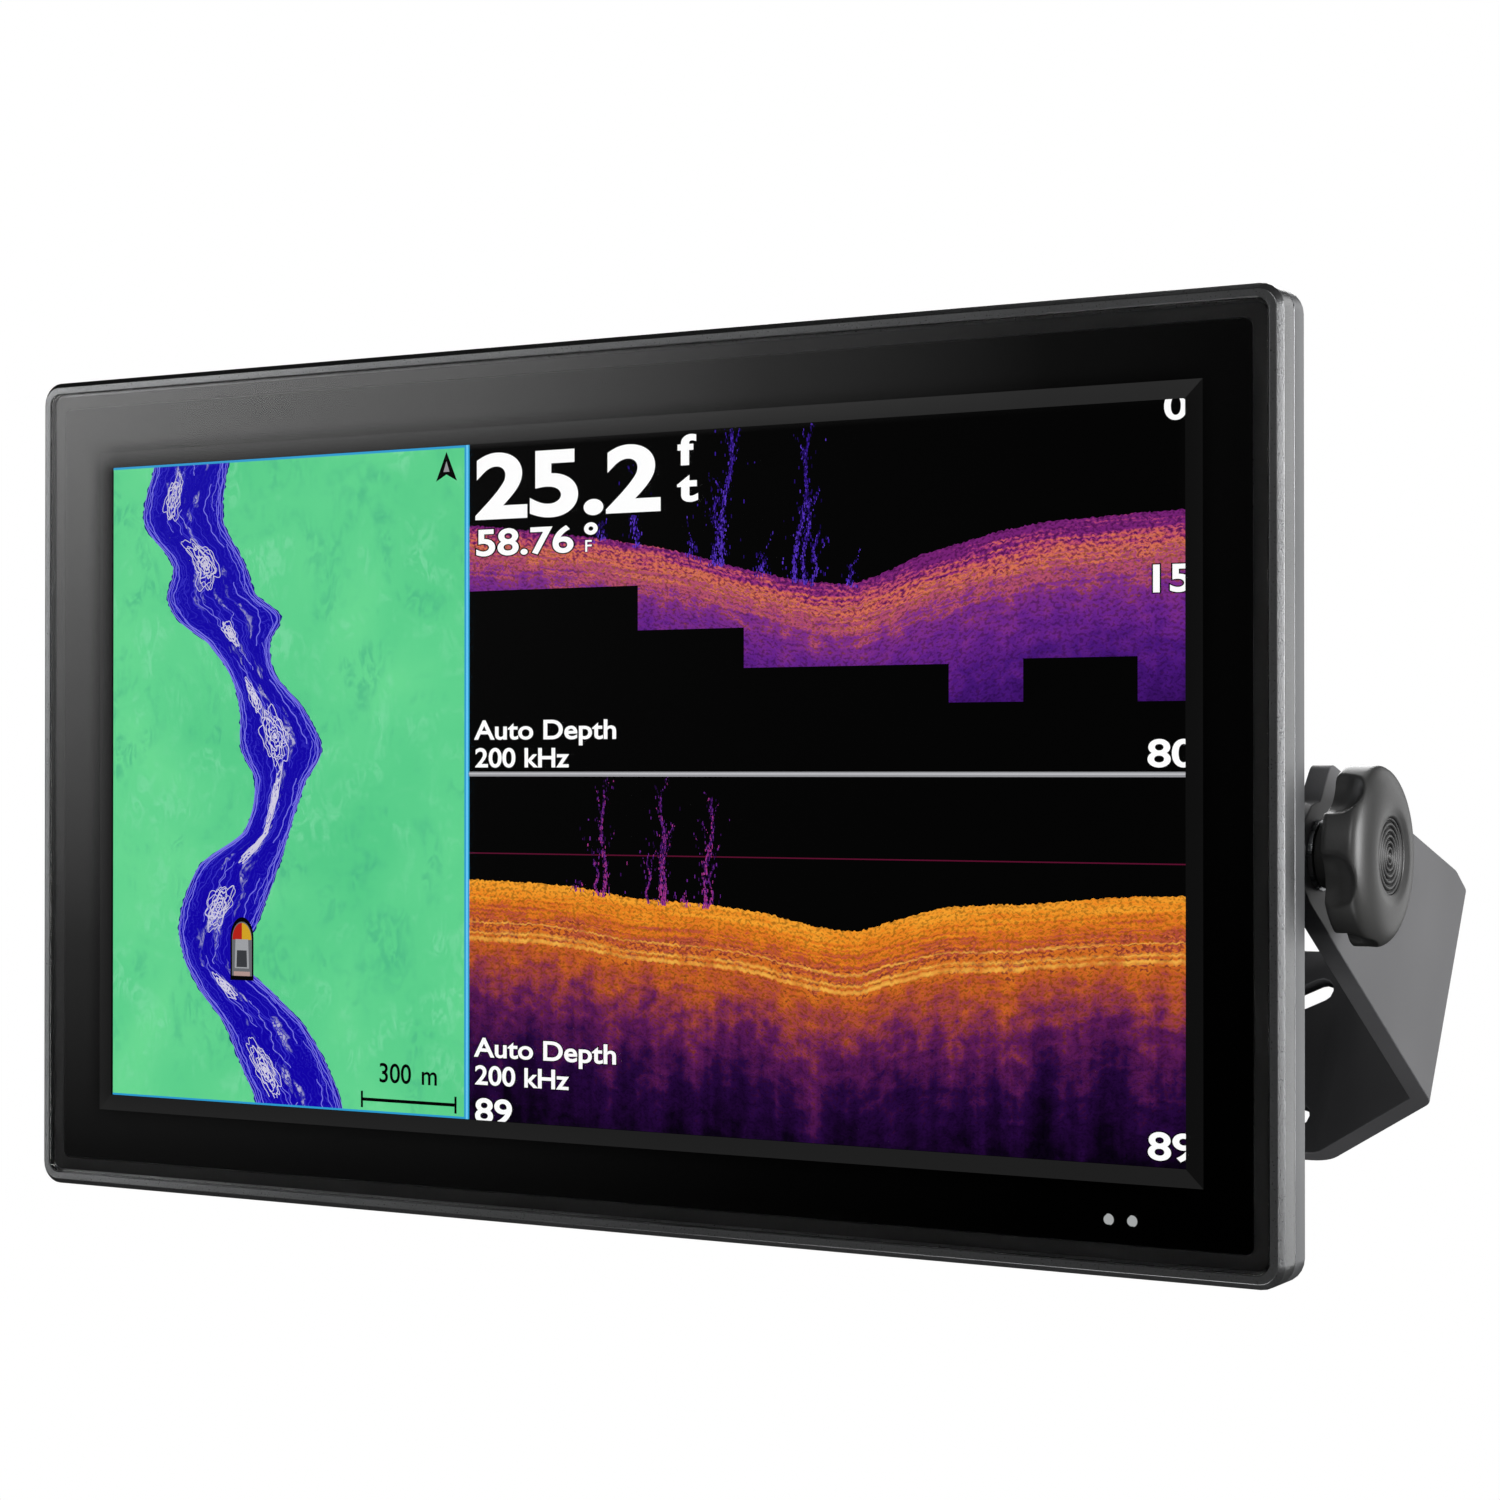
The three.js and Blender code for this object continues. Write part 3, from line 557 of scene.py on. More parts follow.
# Rows of (down the map, left bank, right bank), in fractions of the map.
RIVER_BANKS = [
    (0.0, 0.12, 0.34),
    (0.09, 0.09, 0.325),
    (0.16, 0.175, 0.385),
    (0.21, 0.16, 0.42),
    (0.245, 0.19, 0.49),
    (0.285, 0.28, 0.46),
    (0.335, 0.345, 0.475),
    (0.385, 0.37, 0.55),
    (0.45, 0.375, 0.605),
    (0.5, 0.415, 0.56),
    (0.577, 0.385, 0.515),
    (0.631, 0.256, 0.485),
    (0.717, 0.197, 0.428),
    (0.78, 0.212, 0.385),
    (0.826, 0.256, 0.47),
    (0.873, 0.323, 0.556),
    (0.936, 0.372, 0.624),
    (1.0, 0.42, 0.665),
]


def river():
    steps = 220
    generator = random.Random(5)
    jitter = [(generator.uniform(-1, 1), generator.uniform(-1, 1)) for _ in range(steps + 1)]
    vertices, uvs, faces = [], [], []
    columns = 9
    for i in range(steps + 1):
        down = i / steps
        left, right = smooth_value(RIVER_BANKS, down)
        left += 0.0035 * jitter[i][0]
        right += 0.0035 * jitter[i][1]
        for k in range(columns):
            share = k / (columns - 1)
            vertices.append(at((left + (right - left) * share) * MAP_SHARE, down, 1))
            uvs.append((2 * share - 1, down))
    for i in range(steps):
        for k in range(columns - 1):
            a = i * columns + k
            faces.append((a, a + columns, a + columns + 1, a + 1))
    return piece("river", vertices, faces, river_water(), "head", uvs)


def strip_along(path, half, layer, vertices, faces):
    """Adds a thin flat strip along a path of (across, down) map points; None breaks the strip."""
    previous = None
    for i, point in enumerate(path):
        if point is None:
            previous = None
            continue
        following = path[(i + 1) % len(path)] or point
        before = path[i - 1] or point
        dx = (following[0] - before[0]) * WINDOW_WIDTH
        dz = (following[1] - before[1]) * WINDOW_HEIGHT
        length = math.hypot(dx, dz) or 1.0
        nx, nz = half * dz / length / WINDOW_WIDTH, -half * dx / length / WINDOW_HEIGHT
        pair = len(vertices)
        vertices += [at(point[0] + nx, point[1] + nz, layer), at(point[0] - nx, point[1] - nz, layer)]
        if previous is not None:
            faces.append((previous, pair, pair + 1, previous + 1))
        previous = pair


def bank_point(share, down):
    left, right = smooth_value(RIVER_BANKS, min(max(down, 0.0), 1.0))
    return (left + (right - left) * share) * MAP_SHARE


# Shares of the river's width: lines crowd at both banks, leave a deep channel, then fill midstream.
LINE_SHARES = [0.012, 0.035, 0.06, 0.085, 0.12, 0.19, 0.3, 0.35, 0.4, 0.44, 0.48, 0.52, 0.56, 0.6, 0.66]
LINE_SHARES += [0.8, 0.88, 0.915, 0.94, 0.965, 0.988]


def contour_lines():
    """Thin depth lines drawn along the river's bends as real strips, crowded near the banks."""
    generator = random.Random(11)
    tones = {"#7c78ee": ([], []), "#9a98f4": ([], []), "#3a33cc": ([], [])}
    for line, share in enumerate(LINE_SHARES):
        phase = generator.uniform(0, 6.28)
        bank = min(share, 1 - share) < 0.1
        tone = "#7c78ee" if bank else generator.choice(list(tones))
        path = []
        for i in range(401):
            down = i / 400
            wave = 0.03 * math.sin(down * 61 + phase) + 0.022 * math.sin(down * 143 + 2 * phase)
            wave += 0.012 * math.sin(down * 377 + 3 * phase)
            broken = math.sin(down * 41 + phase * 3) > 0.5 and not bank
            bent = share + wave * (0.12 + 0.9 * math.sin(math.pi * share))
            path.append(None if broken else (bank_point(min(max(bent, 0.01), 0.99), down), down))
        strip_along(path + [None], 0.00016 if line % 3 else 0.00024, 2, *tones[tone])
    for number, (tone, (vertices, faces)) in enumerate(tones.items()):
        material = glowing(f"contour_{number + 1}", tone)
        piece(f"river_contours_{number + 1}", vertices, faces, material, "head")


# Rows of (down the map, share of the river's width, half length, half width) of the pale shoals.
SHOALS = [
    (0.055, 0.36, 0.036, 0.1), (0.16, 0.46, 0.04, 0.17), (0.27, 0.44, 0.02, 0.07), (0.37, 0.3, 0.03, 0.08),
    (0.43, 0.45, 0.045, 0.16), (0.53, 0.45, 0.05, 0.07), (0.6, 0.5, 0.03, 0.06), (0.695, 0.45, 0.035, 0.15),
    (0.82, 0.4, 0.02, 0.08), (0.945, 0.26, 0.045, 0.12),
]


def shoals():
    """Nested, uneven loops of pale contour lines over each shoal."""
    generator = random.Random(17)
    vertices, faces = [], []
    for down, share, half_length, half_width in SHOALS:
        loops = 3 + int(34 * half_width)
        for loop in range(loops):
            scale = (loop + 0.6) / loops
            a, b, c = (generator.uniform(0, 6.28) for _ in range(3))
            path = []
            for i in range(73):
                turn = i * math.pi / 36
                uneven = 1 + 0.16 * math.sin(3 * turn + a) + 0.11 * math.sin(7 * turn + b)
                uneven += 0.07 * math.sin(13 * turn + c)
                place = down + half_length * scale * uneven * math.sin(turn)
                inside = 0.01 < place < 0.99
                bent = share + half_width * scale * uneven * math.cos(turn)
                path.append((bank_point(bent, place), place) if inside else None)
            half = 0.00014 + 0.0002 * generator.random() * (1.2 - scale)
            strip_along(path + [None], half, 3, vertices, faces)
    piece("river_shoals", vertices, faces, glowing("shoal_line", "#e4e0f8", 1.0, 0.2), "head")


rectangle("map_land", 0, 0, MAP_SHARE, 1, 0, terrain())
river()
contour_lines()
shoals()

BLACK = glowing("drawn_black", "#050505", 1.0)
WHITE = glowing("drawn_white", "#ffffff", 1.06, 0.0)
CYAN = glowing("drawn_cyan", "#2f9fd6")
GREY = glowing("drawn_grey", "#9a9a9e")

rectangle("map_divider", MAP_SHARE - 0.0045, 0, MAP_SHARE + 0.0005, 1, 6, CYAN)
PALE_CYAN = glowing("pale_cyan", "#6fd0ff")
rectangle("map_divider_core", MAP_SHARE - 0.0028, 0, MAP_SHARE - 0.0008, 1, 7, PALE_CYAN)
rectangle("map_top_line", 0, 0, MAP_SHARE - 0.004, 0.0035, 6, CYAN)
rectangle("map_foot_line", 0, 0.997, MAP_SHARE - 0.004, 1, 6, CYAN)


# ---------------------------------------------------------------- sonar views
def echo_material(name, stops, streak, lag, line=None):
    """Seabed echoes: colour by depth below the bed (V), broken up by layers, streaks and grain.

    lag holds (across, depth) stops: how much deeper the same colours lie, across the view.
    """
    tree = Tree(name)
    uv = tree.place(uv=True)
    across, depth, _ = tree.split(uv)

    def pattern(x, y, detail, distortion=0.0):
        stretched = tree.node("ShaderNodeMapping", Vector=uv, Scale=(x, y, 1))
        return tree.math("SUBTRACT", tree.noise(stretched, 1.0, detail, distortion), 0.5)

    def faded(value, near, far, at_near, at_far):
        ends = {"From_Min": near, "From_Max": far, "To_Min": at_near, "To_Max": at_far}
        amount = tree.node("ShaderNodeMapRange", Value=depth, **ends)
        return tree.math("MULTIPLY", value, amount)

    layers = pattern(6, 110, 5, 0.4)
    grain = pattern(180, 120, 3)
    clouds = pattern(42, 24, 4, 0.5)
    moved = tree.math("SUBTRACT", depth, tree.ramp(across, lag))
    moved = tree.math("ADD", moved, faded(layers, 0.12, 0.3, 0.2, 0.03))
    moved = tree.math("SUBTRACT", moved, faded(pattern(24, 1.2, 4), 0.1, 0.5, 0.0, streak))
    moved = tree.math("ADD", moved, faded(clouds, 0.05, 0.3, 0.08, 0.3))
    moved = tree.math("ADD", moved, faded(grain, 0.0, 0.35, 0.12, 0.3))
    colour = tree.ramp(moved, [(position, linear(tone)) for position, tone in stops])
    speckle = tree.ramp(tree.math("ADD", grain, 0.5), [(0.4, 0.3), (0.53, 1.0)])
    colour = tree.mix(0.75, colour, speckle, "MULTIPLY")
    if line:
        position, tone = line
        slow_sway = tree.math("MULTIPLY", pattern(14, 1, 3), 0.02)
        sway = tree.math("ADD", tree.math("MULTIPLY", layers, 0.012), slow_sway)
        swayed = tree.math("ADD", depth, sway)
        broken = tree.ramp(tree.math("ADD", pattern(60, 3, 3), 0.5), [(0.35, 0.25), (0.6, 1.0)])
        for offset, half in ((0.0, 0.0022), (0.017, 0.003), (-0.03, 0.0012)):
            gap = tree.math("ABSOLUTE", tree.math("SUBTRACT", swayed, position + offset))
            shown = tree.math("MULTIPLY", tree.ramp(gap, [(half, 0.9), (half * 2.2, 0.0)]), broken)
            colour = tree.mix(shown, colour, linear(tone))
    return tree.glow(colour)


def seabed(name, bed, floor_of, top, height, material, layer):
    """The echo below a bed line. bed and floor_of give depths down the view; V counts from the bed."""
    steps, rows = 400, 10
    generator = random.Random(3)
    starts = [smooth_value(bed, i / steps)[0] + generator.uniform(-0.003, 0.003) for i in range(steps + 1)]
    vertices, uvs, faces = [], [], []
    for i in range(steps):
        stop = floor_of((i + 0.5) / steps)
        for side in (i, i + 1):
            across = MAP_SHARE + side / steps * (1 - MAP_SHARE)
            for k in range(rows + 1):
                down = starts[side] + (stop - starts[side]) * k / rows
                vertices.append(at(across, top + down * height, layer))
                uvs.append((side / steps, down - starts[side]))
        first = i * 2 * (rows + 1)
        for a in range(first, first + rows):
            faces.append((a, a + 1, a + rows + 2, a + rows + 1))
    return piece(name, vertices, faces, material, "head", uvs)


# Rows of (across the view, depth down the view).
UPPER_BED = [
    (0.0, 0.246), (0.206, 0.302), (0.31, 0.346), (0.428, 0.415), (0.533, 0.457),
    (0.585, 0.452), (0.662, 0.387), (0.798, 0.32), (0.9, 0.304), (1.0, 0.294),
]
# Rows of (from here on across the view, where the echo stops).
UPPER_STEPS = [(0.0, 0.445), (0.26, 0.577), (0.415, 0.693), (0.697, 0.8), (0.795, 0.682), (0.94, 0.803)]
LOWER_BED = [
    (0.0, 0.305), (0.15, 0.316), (0.249, 0.346), (0.36, 0.36), (0.448, 0.381), (0.514, 0.411),
    (0.573, 0.421), (0.623, 0.392), (0.693, 0.352), (0.81, 0.337), (0.9, 0.318), (1.0, 0.308),
]


def upper_floor(share):
    return [stop for start, stop in UPPER_STEPS if share >= start][-1]


UPPER_TONES = [
    (0.0, "#7a2478"), (0.02, "#a83a78"), (0.05, "#d4645c"), (0.07, "#e07c50"), (0.09, "#a84478"),
    (0.12, "#c05868"), (0.15, "#88348c"), (0.24, "#6c2690"), (0.38, "#4a187c"), (0.6, "#180634"),
]
UPPER_LAG = [(0.0, 0.0), (0.45, 0.0), (0.62, 0.03), (1.0, 0.035)]
LOWER_TONES = [
    (0.0, "#ffa832"), (0.05, "#f48c24"), (0.09, "#dc6c26"), (0.12, "#b04840"), (0.15, "#e07a26"),
    (0.2, "#cc6028"), (0.27, "#a04046"), (0.36, "#641f5c"), (0.5, "#2a0b42"), (0.7, "#0b0314"),
]
LOWER_LAG = [(0.0, 0.0), (1.0, 0.0)]
rectangle("sonar_background", MAP_SHARE, 0, 1, 1, 0, BLACK)
upper_echo = echo_material("upper_echo", UPPER_TONES, 0.25, UPPER_LAG)
seabed("upper_seabed", UPPER_BED, upper_floor, 0, SPLIT, upper_echo, 1)
lower_echo = echo_material("lower_echo", LOWER_TONES, 0.6, LOWER_LAG, (0.15, "#ffbe50"))
seabed("lower_seabed", LOWER_BED, lambda share: 1.0, SPLIT, 1 - SPLIT, lower_echo, 1)
rectangle("sonar_divider", MAP_SHARE, SPLIT - 0.004, 1, SPLIT + 0.003, 6, GREY)
rectangle("sonar_divider_glint", MAP_SHARE, SPLIT - 0.002, 1, SPLIT, 7, glowing("pale_grey", "#c8c8cc"))


def echoes(name, trunks, bed, top, height, colours, layer, seed):
    """Speckled echoes of sunken trees: rows of (across, tallness, lean, thickness), standing on the bed."""
    generator = random.Random(seed)
    made = {tone: ([], []) for tone in colours}

    def speck(share, depth, size, bright):
        tone = colours[0] if generator.random() < bright else generator.choice(colours[1:])
        vertices, faces = made[tone]
        first = len(vertices)
        wide, tall = size * generator.uniform(0.5, 1.1), size * generator.uniform(1.2, 3.2)
        across, down = MAP_SHARE + share * (1 - MAP_SHARE), top + depth * height
        for dx, dz in ((-wide, -tall), (-wide, tall), (wide, tall), (wide, -tall)):
            vertices.append(at(across + dx, min(max(down + dz * 1.8, top + 0.001), 0.999), layer))
        faces.append((first, first + 1, first + 2, first + 3))

    for share, tallness, lean, thickness in trunks:
        foot = smooth_value(bed, share)[0]
        bend = generator.uniform(0, 6)

        def middle(up):
            return share + lean * up + 0.003 * math.sin(bend + up * 9)

        for _ in range(int(1000 * tallness)):
            up = generator.random() ** 1.3
            spread = thickness * (1 - 0.6 * up)
            x = middle(up) + generator.gauss(0, spread)
            speck(x, foot + 0.01 - up * tallness, 0.00042, 0.5 * (1 - up))
        for _ in range(int(22 * tallness)):
            start = generator.uniform(0.3, 1.0)
            side = generator.choice((-1, 1)) * generator.uniform(0.3, 1.0)
            reach = generator.uniform(0.04, 0.1)
            for k in range(26):
                along = k / 26
                if generator.random() < 0.5:
                    continue
                x = middle(start) + side * 0.02 * along + generator.gauss(0, 0.0008)
                speck(x, foot - start * tallness - reach * along + generator.gauss(0, 0.004), 0.00034, 0.15)
        for _ in range(int(90 * tallness)):
            up = generator.random()
            speck(middle(up) + generator.gauss(0, 0.013), foot + 0.01 - up * tallness, 0.0005, 0.1)
    for number, (tone, (vertices, faces)) in enumerate(made.items()):
        material = glowing(f"{name}_{number + 1}", tone)
        piece(f"{name}_{number + 1}", vertices, faces, material, "head")


UPPER_TRUNKS = [
    (0.255, 0.22, 0.004, 0.004),
    (0.205, 0.06, 0.0, 0.006),
    (0.38, 0.42, 0.02, 0.0028),
    (0.375, 0.2, 0.0, 0.003),
    (0.487, 0.42, 0.022, 0.0022),
    (0.5, 0.3, 0.008, 0.002),
    (0.513, 0.16, 0.006, 0.002),
    (0.44, 0.07, 0.0, 0.006),
    (0.565, 0.06, 0.0, 0.004),
    (0.34, 0.05, 0.0, 0.004),
]
LOWER_TRUNKS = [
    (0.21, 0.3, -0.004, 0.002),
    (0.2, 0.1, -0.003, 0.001),
    (0.297, 0.3, 0.0, 0.0022),
    (0.3, 0.2, -0.006, 0.0014),
    (0.357, 0.31, 0.014, 0.0022),
    (0.366, 0.12, 0.003, 0.001),
    (0.168, 0.03, 0.0, 0.005),
    (0.33, 0.04, 0.0, 0.003),
    (0.275, 0.12, 0.002, 0.001),
]
UPPER_TIMBER = ["#5f3ccc", "#3c1e9c", "#251064", "#150840"]
LOWER_TIMBER = ["#a8388c", "#68268c", "#3c1258", "#200936"]
echoes("upper_timber", UPPER_TRUNKS, UPPER_BED, 0, SPLIT, UPPER_TIMBER, 2, 21)
echoes("lower_timber", LOWER_TRUNKS, LOWER_BED, SPLIT, 1 - SPLIT, LOWER_TIMBER, 2, 22)
rectangle("thermal_line", MAP_SHARE, 0.6045, 1, 0.6062, 2, glowing("thermal_line", "#5c1230"))


# ---------------------------------------------------------------- readouts
def lettering(name, text, left, baseline, size, material, weight, layer, squeeze=1.0):
    """Text in the built-in face as a flat mesh, its baseline at a place in the picture."""
    curve = bpy.data.curves.new(name, "FONT")
    curve.body = text
    curve.size = size
    curve.offset = weight * size
    source = bpy.data.objects.new(name + "_source", curve)
    bpy.context.scene.collection.objects.link(source)
    bpy.context.view_layer.update()
    flat = bpy.data.meshes.new_from_object(source.evaluated_get(bpy.context.evaluated_depsgraph_get()))
    origin = at(left, baseline, layer)
    vertices = [(origin.x + v.co.x * squeeze, origin.y, origin.z + v.co.y) for v in flat.vertices]
    faces = [tuple(face.vertices) for face in flat.polygons]
    bpy.data.objects.remove(source)
    bpy.data.meshes.remove(flat)
    return piece(name, vertices, faces, material, "head")


def readout(name, text, left, baseline, size, weight=0.022, squeeze=0.95):
    lettering(name, text, left, baseline, size, WHITE, weight, 9, squeeze)
    lettering(name + "_shadow", text, left, baseline, size, BLACK, weight + 0.03, 8, squeeze)


TEXT_LEFT = MAP_SHARE + 0.006
readout("depth_readout", "25.2", TEXT_LEFT, 0.1085, 35 * MM, 0.03, 1.44)
readout("depth_unit_upper", "f", 0.5785, 0.047, 15.5 * MM, 0.035, 1.5)
readout("depth_unit_lower", "t", 0.5785, 0.099, 15.5 * MM, 0.035, 1.5)
readout("temperature_readout", "58.76", TEXT_LEFT, 0.165, 14.5 * MM, 0.02, 1.46)
readout("temperature_unit", "°", 0.489, 0.166, 15 * MM, 0.026, 1.3)
readout("temperature_scale", "F", 0.4905, 0.166, 6.5 * MM, 0.01, 1.2)
readout("upper_label", "Auto Depth", TEXT_LEFT, 0.437, 10.6 * MM, 0.019, 1.29)
readout("upper_frequency", "200 kHz", TEXT_LEFT, 0.478, 10.6 * MM, 0.019, 1.23)
readout("lower_label", "Auto Depth", TEXT_LEFT, 0.906, 10.6 * MM, 0.019, 1.29)
readout("lower_frequency", "200 kHz", TEXT_LEFT, 0.947, 10.6 * MM, 0.019, 1.23)
readout("lower_depth", "89", TEXT_LEFT, 1.003, 13.5 * MM, 0.02, 1.35)
readout("scale_top", "0", 0.983, 0.026, 13.5 * MM, 0.02, 1.35)
readout("scale_bed", "15", 0.968, 0.25, 13.5 * MM, 0.02, 1.35)
readout("scale_upper_floor", "80", 0.97, 0.478, 13.5 * MM, 0.02, 1.35)
readout("scale_lower_floor", "89", 0.97, 0.99, 13.5 * MM, 0.02, 1.35)

# map symbols: north arrow, scale bar and the boat's own marker
NORTH = (0.3565, 0.03)


def arrow_part(name, offsets, layer, material):
    """A part of the north arrow, from its corners' offsets from the arrow's middle."""
    area(name, [(NORTH[0] + across, NORTH[1] + down) for across, down in offsets], layer, material)


arrow_part("north_arrow", [(0, -0.022), (0.0105, 0.022), (0, 0.012)], 5, BLACK)
arrow_part("north_arrow_left", [(0, -0.022), (0, 0.012), (-0.0105, 0.022)], 5, BLACK)
arrow_part("north_arrow_core", [(0, -0.008), (0.003, 0.008), (-0.003, 0.008)], 6, GREY)
lettering("map_scale", "300", 0.288, 0.953, 11 * MM, BLACK, 0.012, 5, 1.0)
lettering("map_scale_unit", "m", 0.331, 0.953, 11 * MM, BLACK, 0.012, 5, 1.0)
rectangle("scale_bar", 0.27, 0.978, 0.367, 0.983, 5, BLACK)
rectangle("scale_bar_start", 0.27, 0.968, 0.2722, 0.993, 5, BLACK)
rectangle("scale_bar_end", 0.3648, 0.968, 0.367, 0.993, 5, BLACK)

BOAT = (0.144, 0.76)
BOAT_SIZE = (0.0125, 0.049)


BOW = [(math.cos(a), -0.35 - 0.65 * math.sin(a)) for a in [math.pi - i * math.pi / 16 for i in range(17)]]


def boat_part(name, outline, scale, layer, material):
    """A part of the boat seen from above, its bow up, from an outline in halves of its size."""
    corners = [(BOAT[0] + x * BOAT_SIZE[0] * scale, BOAT[1] + y * BOAT_SIZE[1] * scale) for x, y in outline]
    return area(name, corners, layer, material)


boat_part("boat_outline", BOW + [(1, 1), (-1, 1)], 1.0, 5, BLACK)
boat_part("boat_hull", BOW + [(1, 1), (-1, 1)], 0.86, 6, glowing("boat_grey", "#6c6e72"))
boat_part("boat_port_bow", BOW[:9] + [(0, -0.35)], 0.82, 7, glowing("boat_red", "#b8241a"))
boat_part("boat_starboard_bow", [(0, -0.35)] + BOW[8:], 0.82, 7, glowing("boat_yellow", "#d8a828"))
for name, outline, layer, tone in (
    ("boat_deck", [(-0.55, -0.3), (0.55, -0.3), (0.62, 0.62), (-0.62, 0.62)], 8, "#a4a6aa"),
    ("boat_well", [(-0.42, 0.05), (0.42, 0.05), (0.46, 0.58), (-0.46, 0.58)], 9, "#3c3e42"),
    ("boat_stern", [(-0.7, 0.72), (0.7, 0.72), (0.7, 0.86), (-0.7, 0.86)], 8, "#b89a94"),
):
    boat_part(name, outline, 1.0, layer, glowing(name, tone))


def window_border_painted_light():
    """The bevelled border round the picture: four mitred strips, each made to glow in its own tone, painted
    light and shade of the bevel.
    """
    wide = 6.5 * MM / WINDOW_WIDTH
    tall = 6.5 * MM / WINDOW_HEIGHT
    inner = [(0, 0), (1, 0), (1, 1), (0, 1)]
    outer = [(-wide, -tall), (1 + wide, -tall), (1 + wide, 1 + tall), (-wide, 1 + tall)]
    # Painted light and shade: each strip glows at its own level, the top lightest and the right darkest.
    tones = {"top": "#292929", "right": "#101010", "foot": "#202020", "left": "#1a1a1a"}
    y = (glass_high[1] + mask_low[1]) / 2
    for i, (side, tone) in enumerate(tones.items()):
        j = (i + 1) % 4
        corners = [outer[i], outer[j], inner[j], inner[i]]
        points = [Vector((p.x, y, p.z)) for p in (at(a, d, 0) for a, d in corners)]
        material = glowing(f"border_{side}", tone)
        piece(f"window_border_painted_light_{side}", points, [(3, 2, 1, 0)], material, "head")


window_border_painted_light()


# ---------------------------------------------------------------- stage and light
def emission(name, strength, colour=(1, 1, 1, 1)):
    tree = Tree(name)
    tree.set(Base_Color=(0, 0, 0, 1), Emission_Color=colour, Emission_Strength=strength)
    tree.shader.inputs["Specular IOR Level"].default_value = 0.0
    return tree


def stage_plane(name, centre, facing, width, height, material):
    """A flat stage piece at centre, turned to face a point."""
    bpy.ops.mesh.primitive_plane_add(size=1)
    made = bpy.context.object
    made.name = name
    made.location = centre
    made.rotation_euler = (Vector(facing) - Vector(centre)).to_track_quat("Z", "Y").to_euler()
    made.scale = (width, height, 1)
    made.data.materials.append(material)
    return made


floor_z = cad_bounds[0][2] - 0.35
floor = stage_plane("floor", (0, 0, floor_z), (0, 0, 10), 60, 60, emission("pale_floor", 1.0).material)
floor.visible_glossy = False
floor.visible_diffuse = False
floor.visible_transmission = False
floor.visible_shadow = False  # so the low softbox lights the part from under the floor

world = bpy.data.worlds.new("studio")
world.use_nodes = True
world.node_tree.nodes["Background"].inputs[0].default_value = (1, 1, 1, 1)
world.node_tree.nodes["Background"].inputs[1].default_value = 1.0
bpy.context.scene.world = world
world.cycles_visibility.glossy = False
world.cycles_visibility.diffuse = False
world.cycles_visibility.transmission = False
world.cycles_visibility.scatter = False


def softbox(name, direction, distance, width, height, power):
    """An area light that faces the head from a direction."""
    data = bpy.data.lights.new(name, "AREA")
    data.shape = "RECTANGLE"
    data.size = width
    data.size_y = height
    data.energy = power
    lamp = bpy.data.objects.new(name, data)
    lamp.location = GLASS_CENTRE + Vector(direction).normalized() * distance
    lamp.rotation_euler = (GLASS_CENTRE - lamp.location).to_track_quat("-Z", "Y").to_euler()
    lamp.visible_camera = False
    bpy.context.scene.collection.objects.link(lamp)
    return lamp


softbox("right_side_softbox", (1.0, 0.0, 0.12), 2.0, 0.8, 1.2, 46)
softbox("right_rear_softbox", (0.36, 0.93, 0.1), 2.4, 0.9, 1.8, 7)
softbox("right_front_softbox", (0.83, -0.56, 0.25), 2.4, 0.5, 1.2, 0.8)
softbox("right_upper_softbox", (0.4, -0.9, 0.5), 2.4, 0.4, 0.4, 14)
softbox("top_softbox", (-0.1, 0.6, 1.0), 2.4, 1.6, 0.8, 5)
softbox("rear_softbox", (-0.4, 1.0, 0.45), 2.4, 1.4, 1.2, 30)
softbox("low_softbox", (-0.1, -0.6, -1.0), 2.4, 1.6, 1.0, 30)


# The card is parallel to the glass, which mirrors it. CARD_SCALE carries a point of the glass to
# the place on the card that the glass mirrors there, so the fade leaves the lit picture clear.
CARD_AWAY = 1.5
CARD_SCALE = 1 - CARD_AWAY / CAMERA_FROM_GLASS.y
CARD_LEFT, CARD_RIGHT, CARD_LOW, CARD_HIGH = -2.1, -0.2, -0.95, 0.95
PICTURE_CLEAR = 0.012  # the fade starts 2.5 of these outside the lit picture and ends 0.5 inside it


def on_card(x, z):
    """Where a point of the glass, from its centre, is mirrored on the card, from the same centre."""
    cx, cz = CAMERA_FROM_GLASS.x, CAMERA_FROM_GLASS.z
    return cx + (x - cx) * CARD_SCALE, cz + (z - cz) * CARD_SCALE


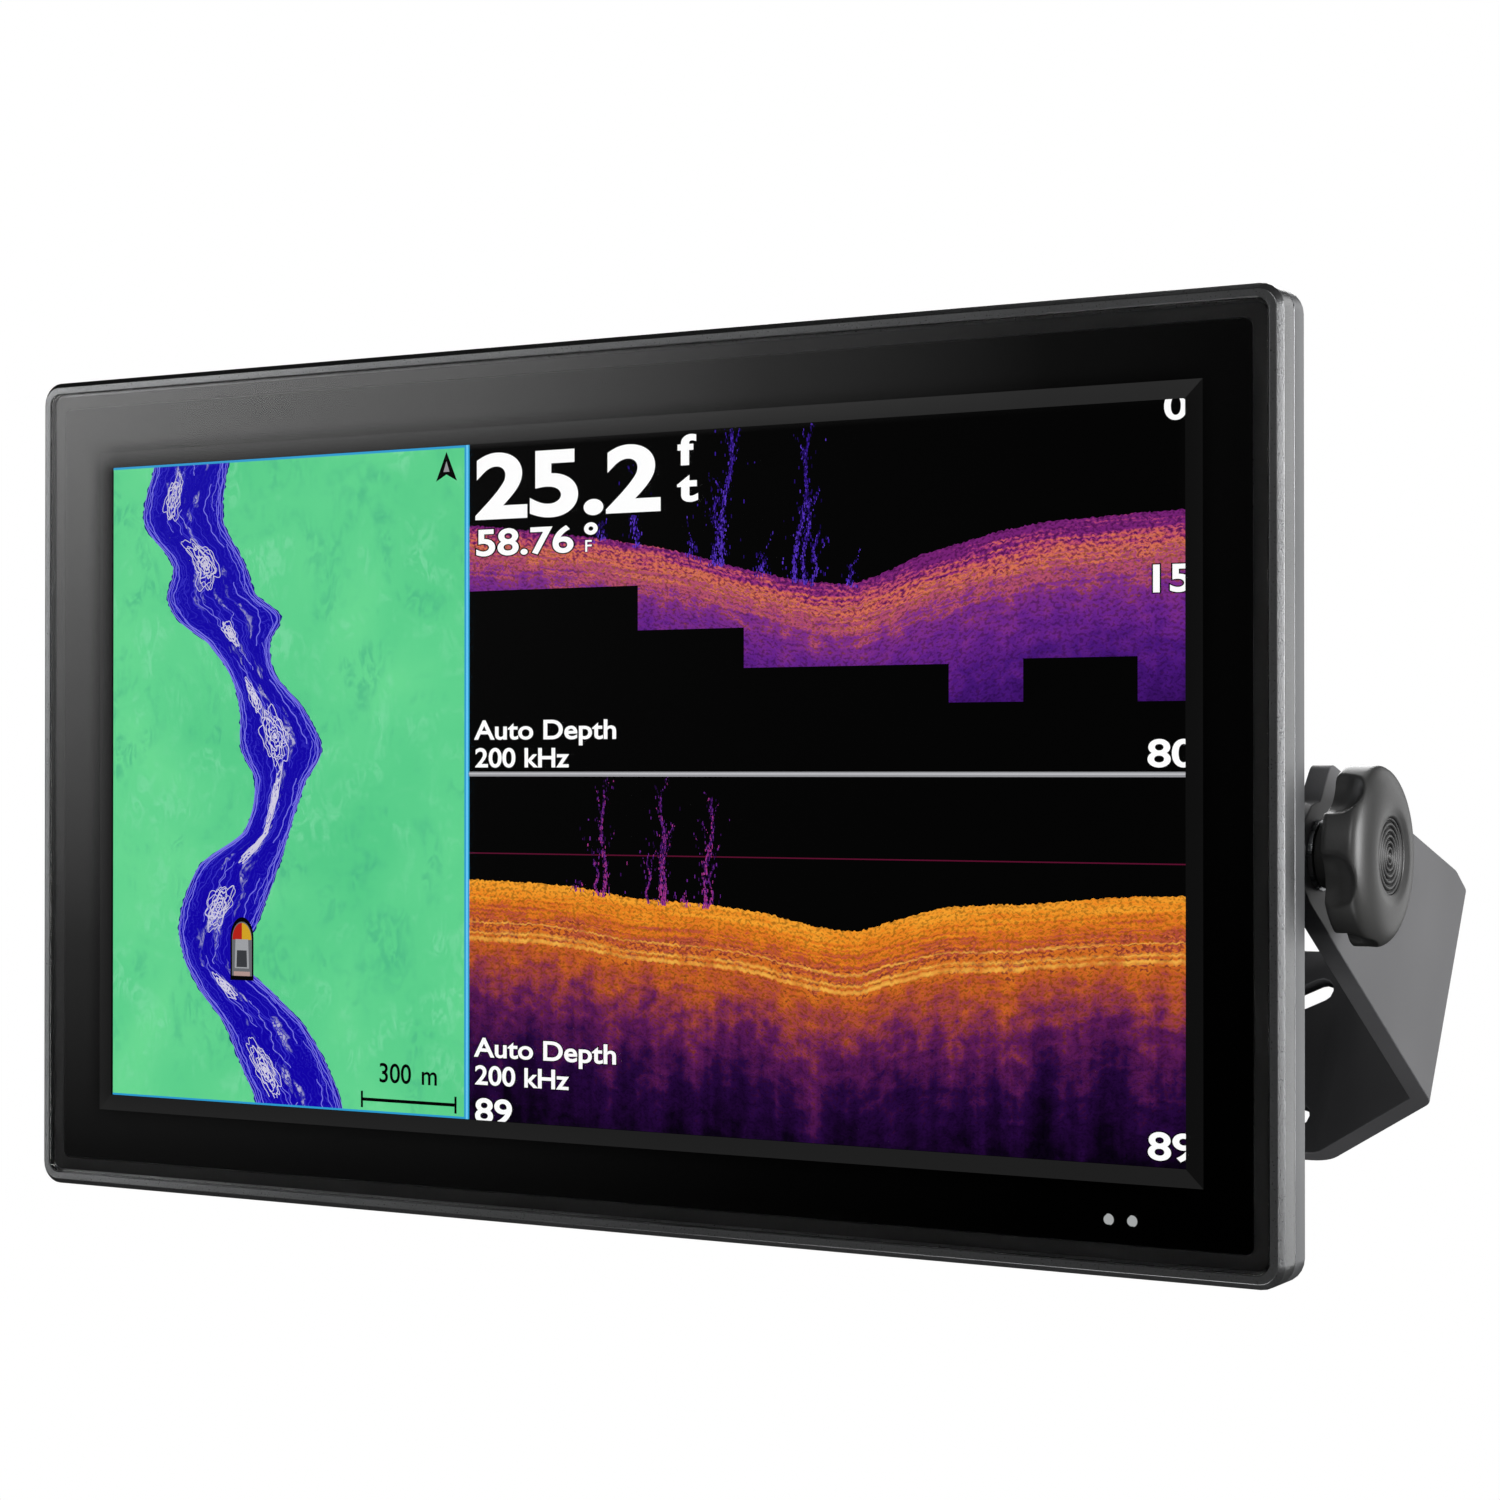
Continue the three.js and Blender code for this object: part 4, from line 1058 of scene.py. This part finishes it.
def graded_card():
    """A white card that fades to the right and downwards, dark behind the lit picture."""
    tree = emission("graded_card", 1.0)
    x, z, _ = tree.split(tree.coordinates("Object"))
    half_width, half_height = glass_high[0] - GLASS_CENTRE.x, glass_high[2] - GLASS_CENTRE.z
    left, low = on_card(-half_width, -half_height)
    right, high = on_card(half_width, half_height)
    across = tree.node("ShaderNodeMapRange", Value=x, From_Min=left, From_Max=right)
    up = tree.node("ShaderNodeMapRange", Value=z, From_Min=low, From_Max=high)
    fade = tree.ramp(across, [(0.0, 0.85), (0.4, 0.5), (0.64, 0.15), (0.85, 0.03), (1.0, 0.012)])
    rise = tree.ramp(up, [(0.0, 0.02), (0.3, 0.13), (0.7, 0.55), (1.0, 1.0)])
    level = tree.math("MULTIPLY", tree.math("MULTIPLY", fade, rise), 2.6)
    side, top = WINDOW_LEFT - GLASS_CENTRE.x, WINDOW_TOP - GLASS_CENTRE.z
    window_left, window_low = on_card(side, top - WINDOW_HEIGHT)
    window_right, window_high = on_card(side + WINDOW_WIDTH, top)
    inside = 1.0
    for value, low_edge, high_edge in ((x, window_left, window_right), (z, window_low, window_high)):
        for edge, inward in ((low_edge, 1), (high_edge, -1)):
            start, stop = edge - inward * PICTURE_CLEAR * 2.5, edge + inward * PICTURE_CLEAR * 0.5
            step = tree.node("ShaderNodeMapRange", Value=value, From_Min=start, From_Max=stop)
            inside = tree.math("MULTIPLY", inside, step)
    level = tree.math("MULTIPLY", level, tree.math("SUBTRACT", 1.0, tree.math("MULTIPLY", inside, 0.97)))
    beyond = tree.node("ShaderNodeMapRange", Value=x, From_Min=left - 0.08, From_Max=left - 0.34)
    past = tree.node("ShaderNodeMapRange", Value=z, From_Min=low, From_Max=high, To_Min=11.5, To_Max=19.0)
    level = tree.math("ADD", level, tree.math("MULTIPLY", beyond, past))
    for value, edge, inner in (
        (x, CARD_LEFT, CARD_LEFT + 0.3),
        (z, CARD_LOW, CARD_LOW + 0.4),
        (z, CARD_HIGH, CARD_HIGH - 0.3),
    ):
        soft = tree.node("ShaderNodeMapRange", Value=value, From_Min=edge, From_Max=inner)
        level = tree.math("MULTIPLY", level, soft)
    tree.put(tree.shader.inputs["Emission Color"], level)
    return tree.material


def card():
    """The card as a mesh in its own frame: X across the glass, Y up, measured from the glass centre."""
    mesh = bpy.data.meshes.new("graded_card")
    corners = [(CARD_LEFT, CARD_LOW), (CARD_RIGHT, CARD_LOW), (CARD_RIGHT, CARD_HIGH), (CARD_LEFT, CARD_HIGH)]
    mesh.from_pydata([(x, z, 0) for x, z in corners], [], [(0, 1, 2, 3)])
    mesh.materials.append(graded_card())
    made = bpy.data.objects.new("graded_card", mesh)
    made.location = GLASS_CENTRE - Vector((0, CARD_AWAY, 0))
    made.rotation_euler = (math.radians(90), 0, 0)
    bpy.context.scene.collection.objects.link(made)
    made.visible_camera = False
    made.visible_diffuse = False


card()

bpy.context.scene.view_settings.view_transform = "Standard"
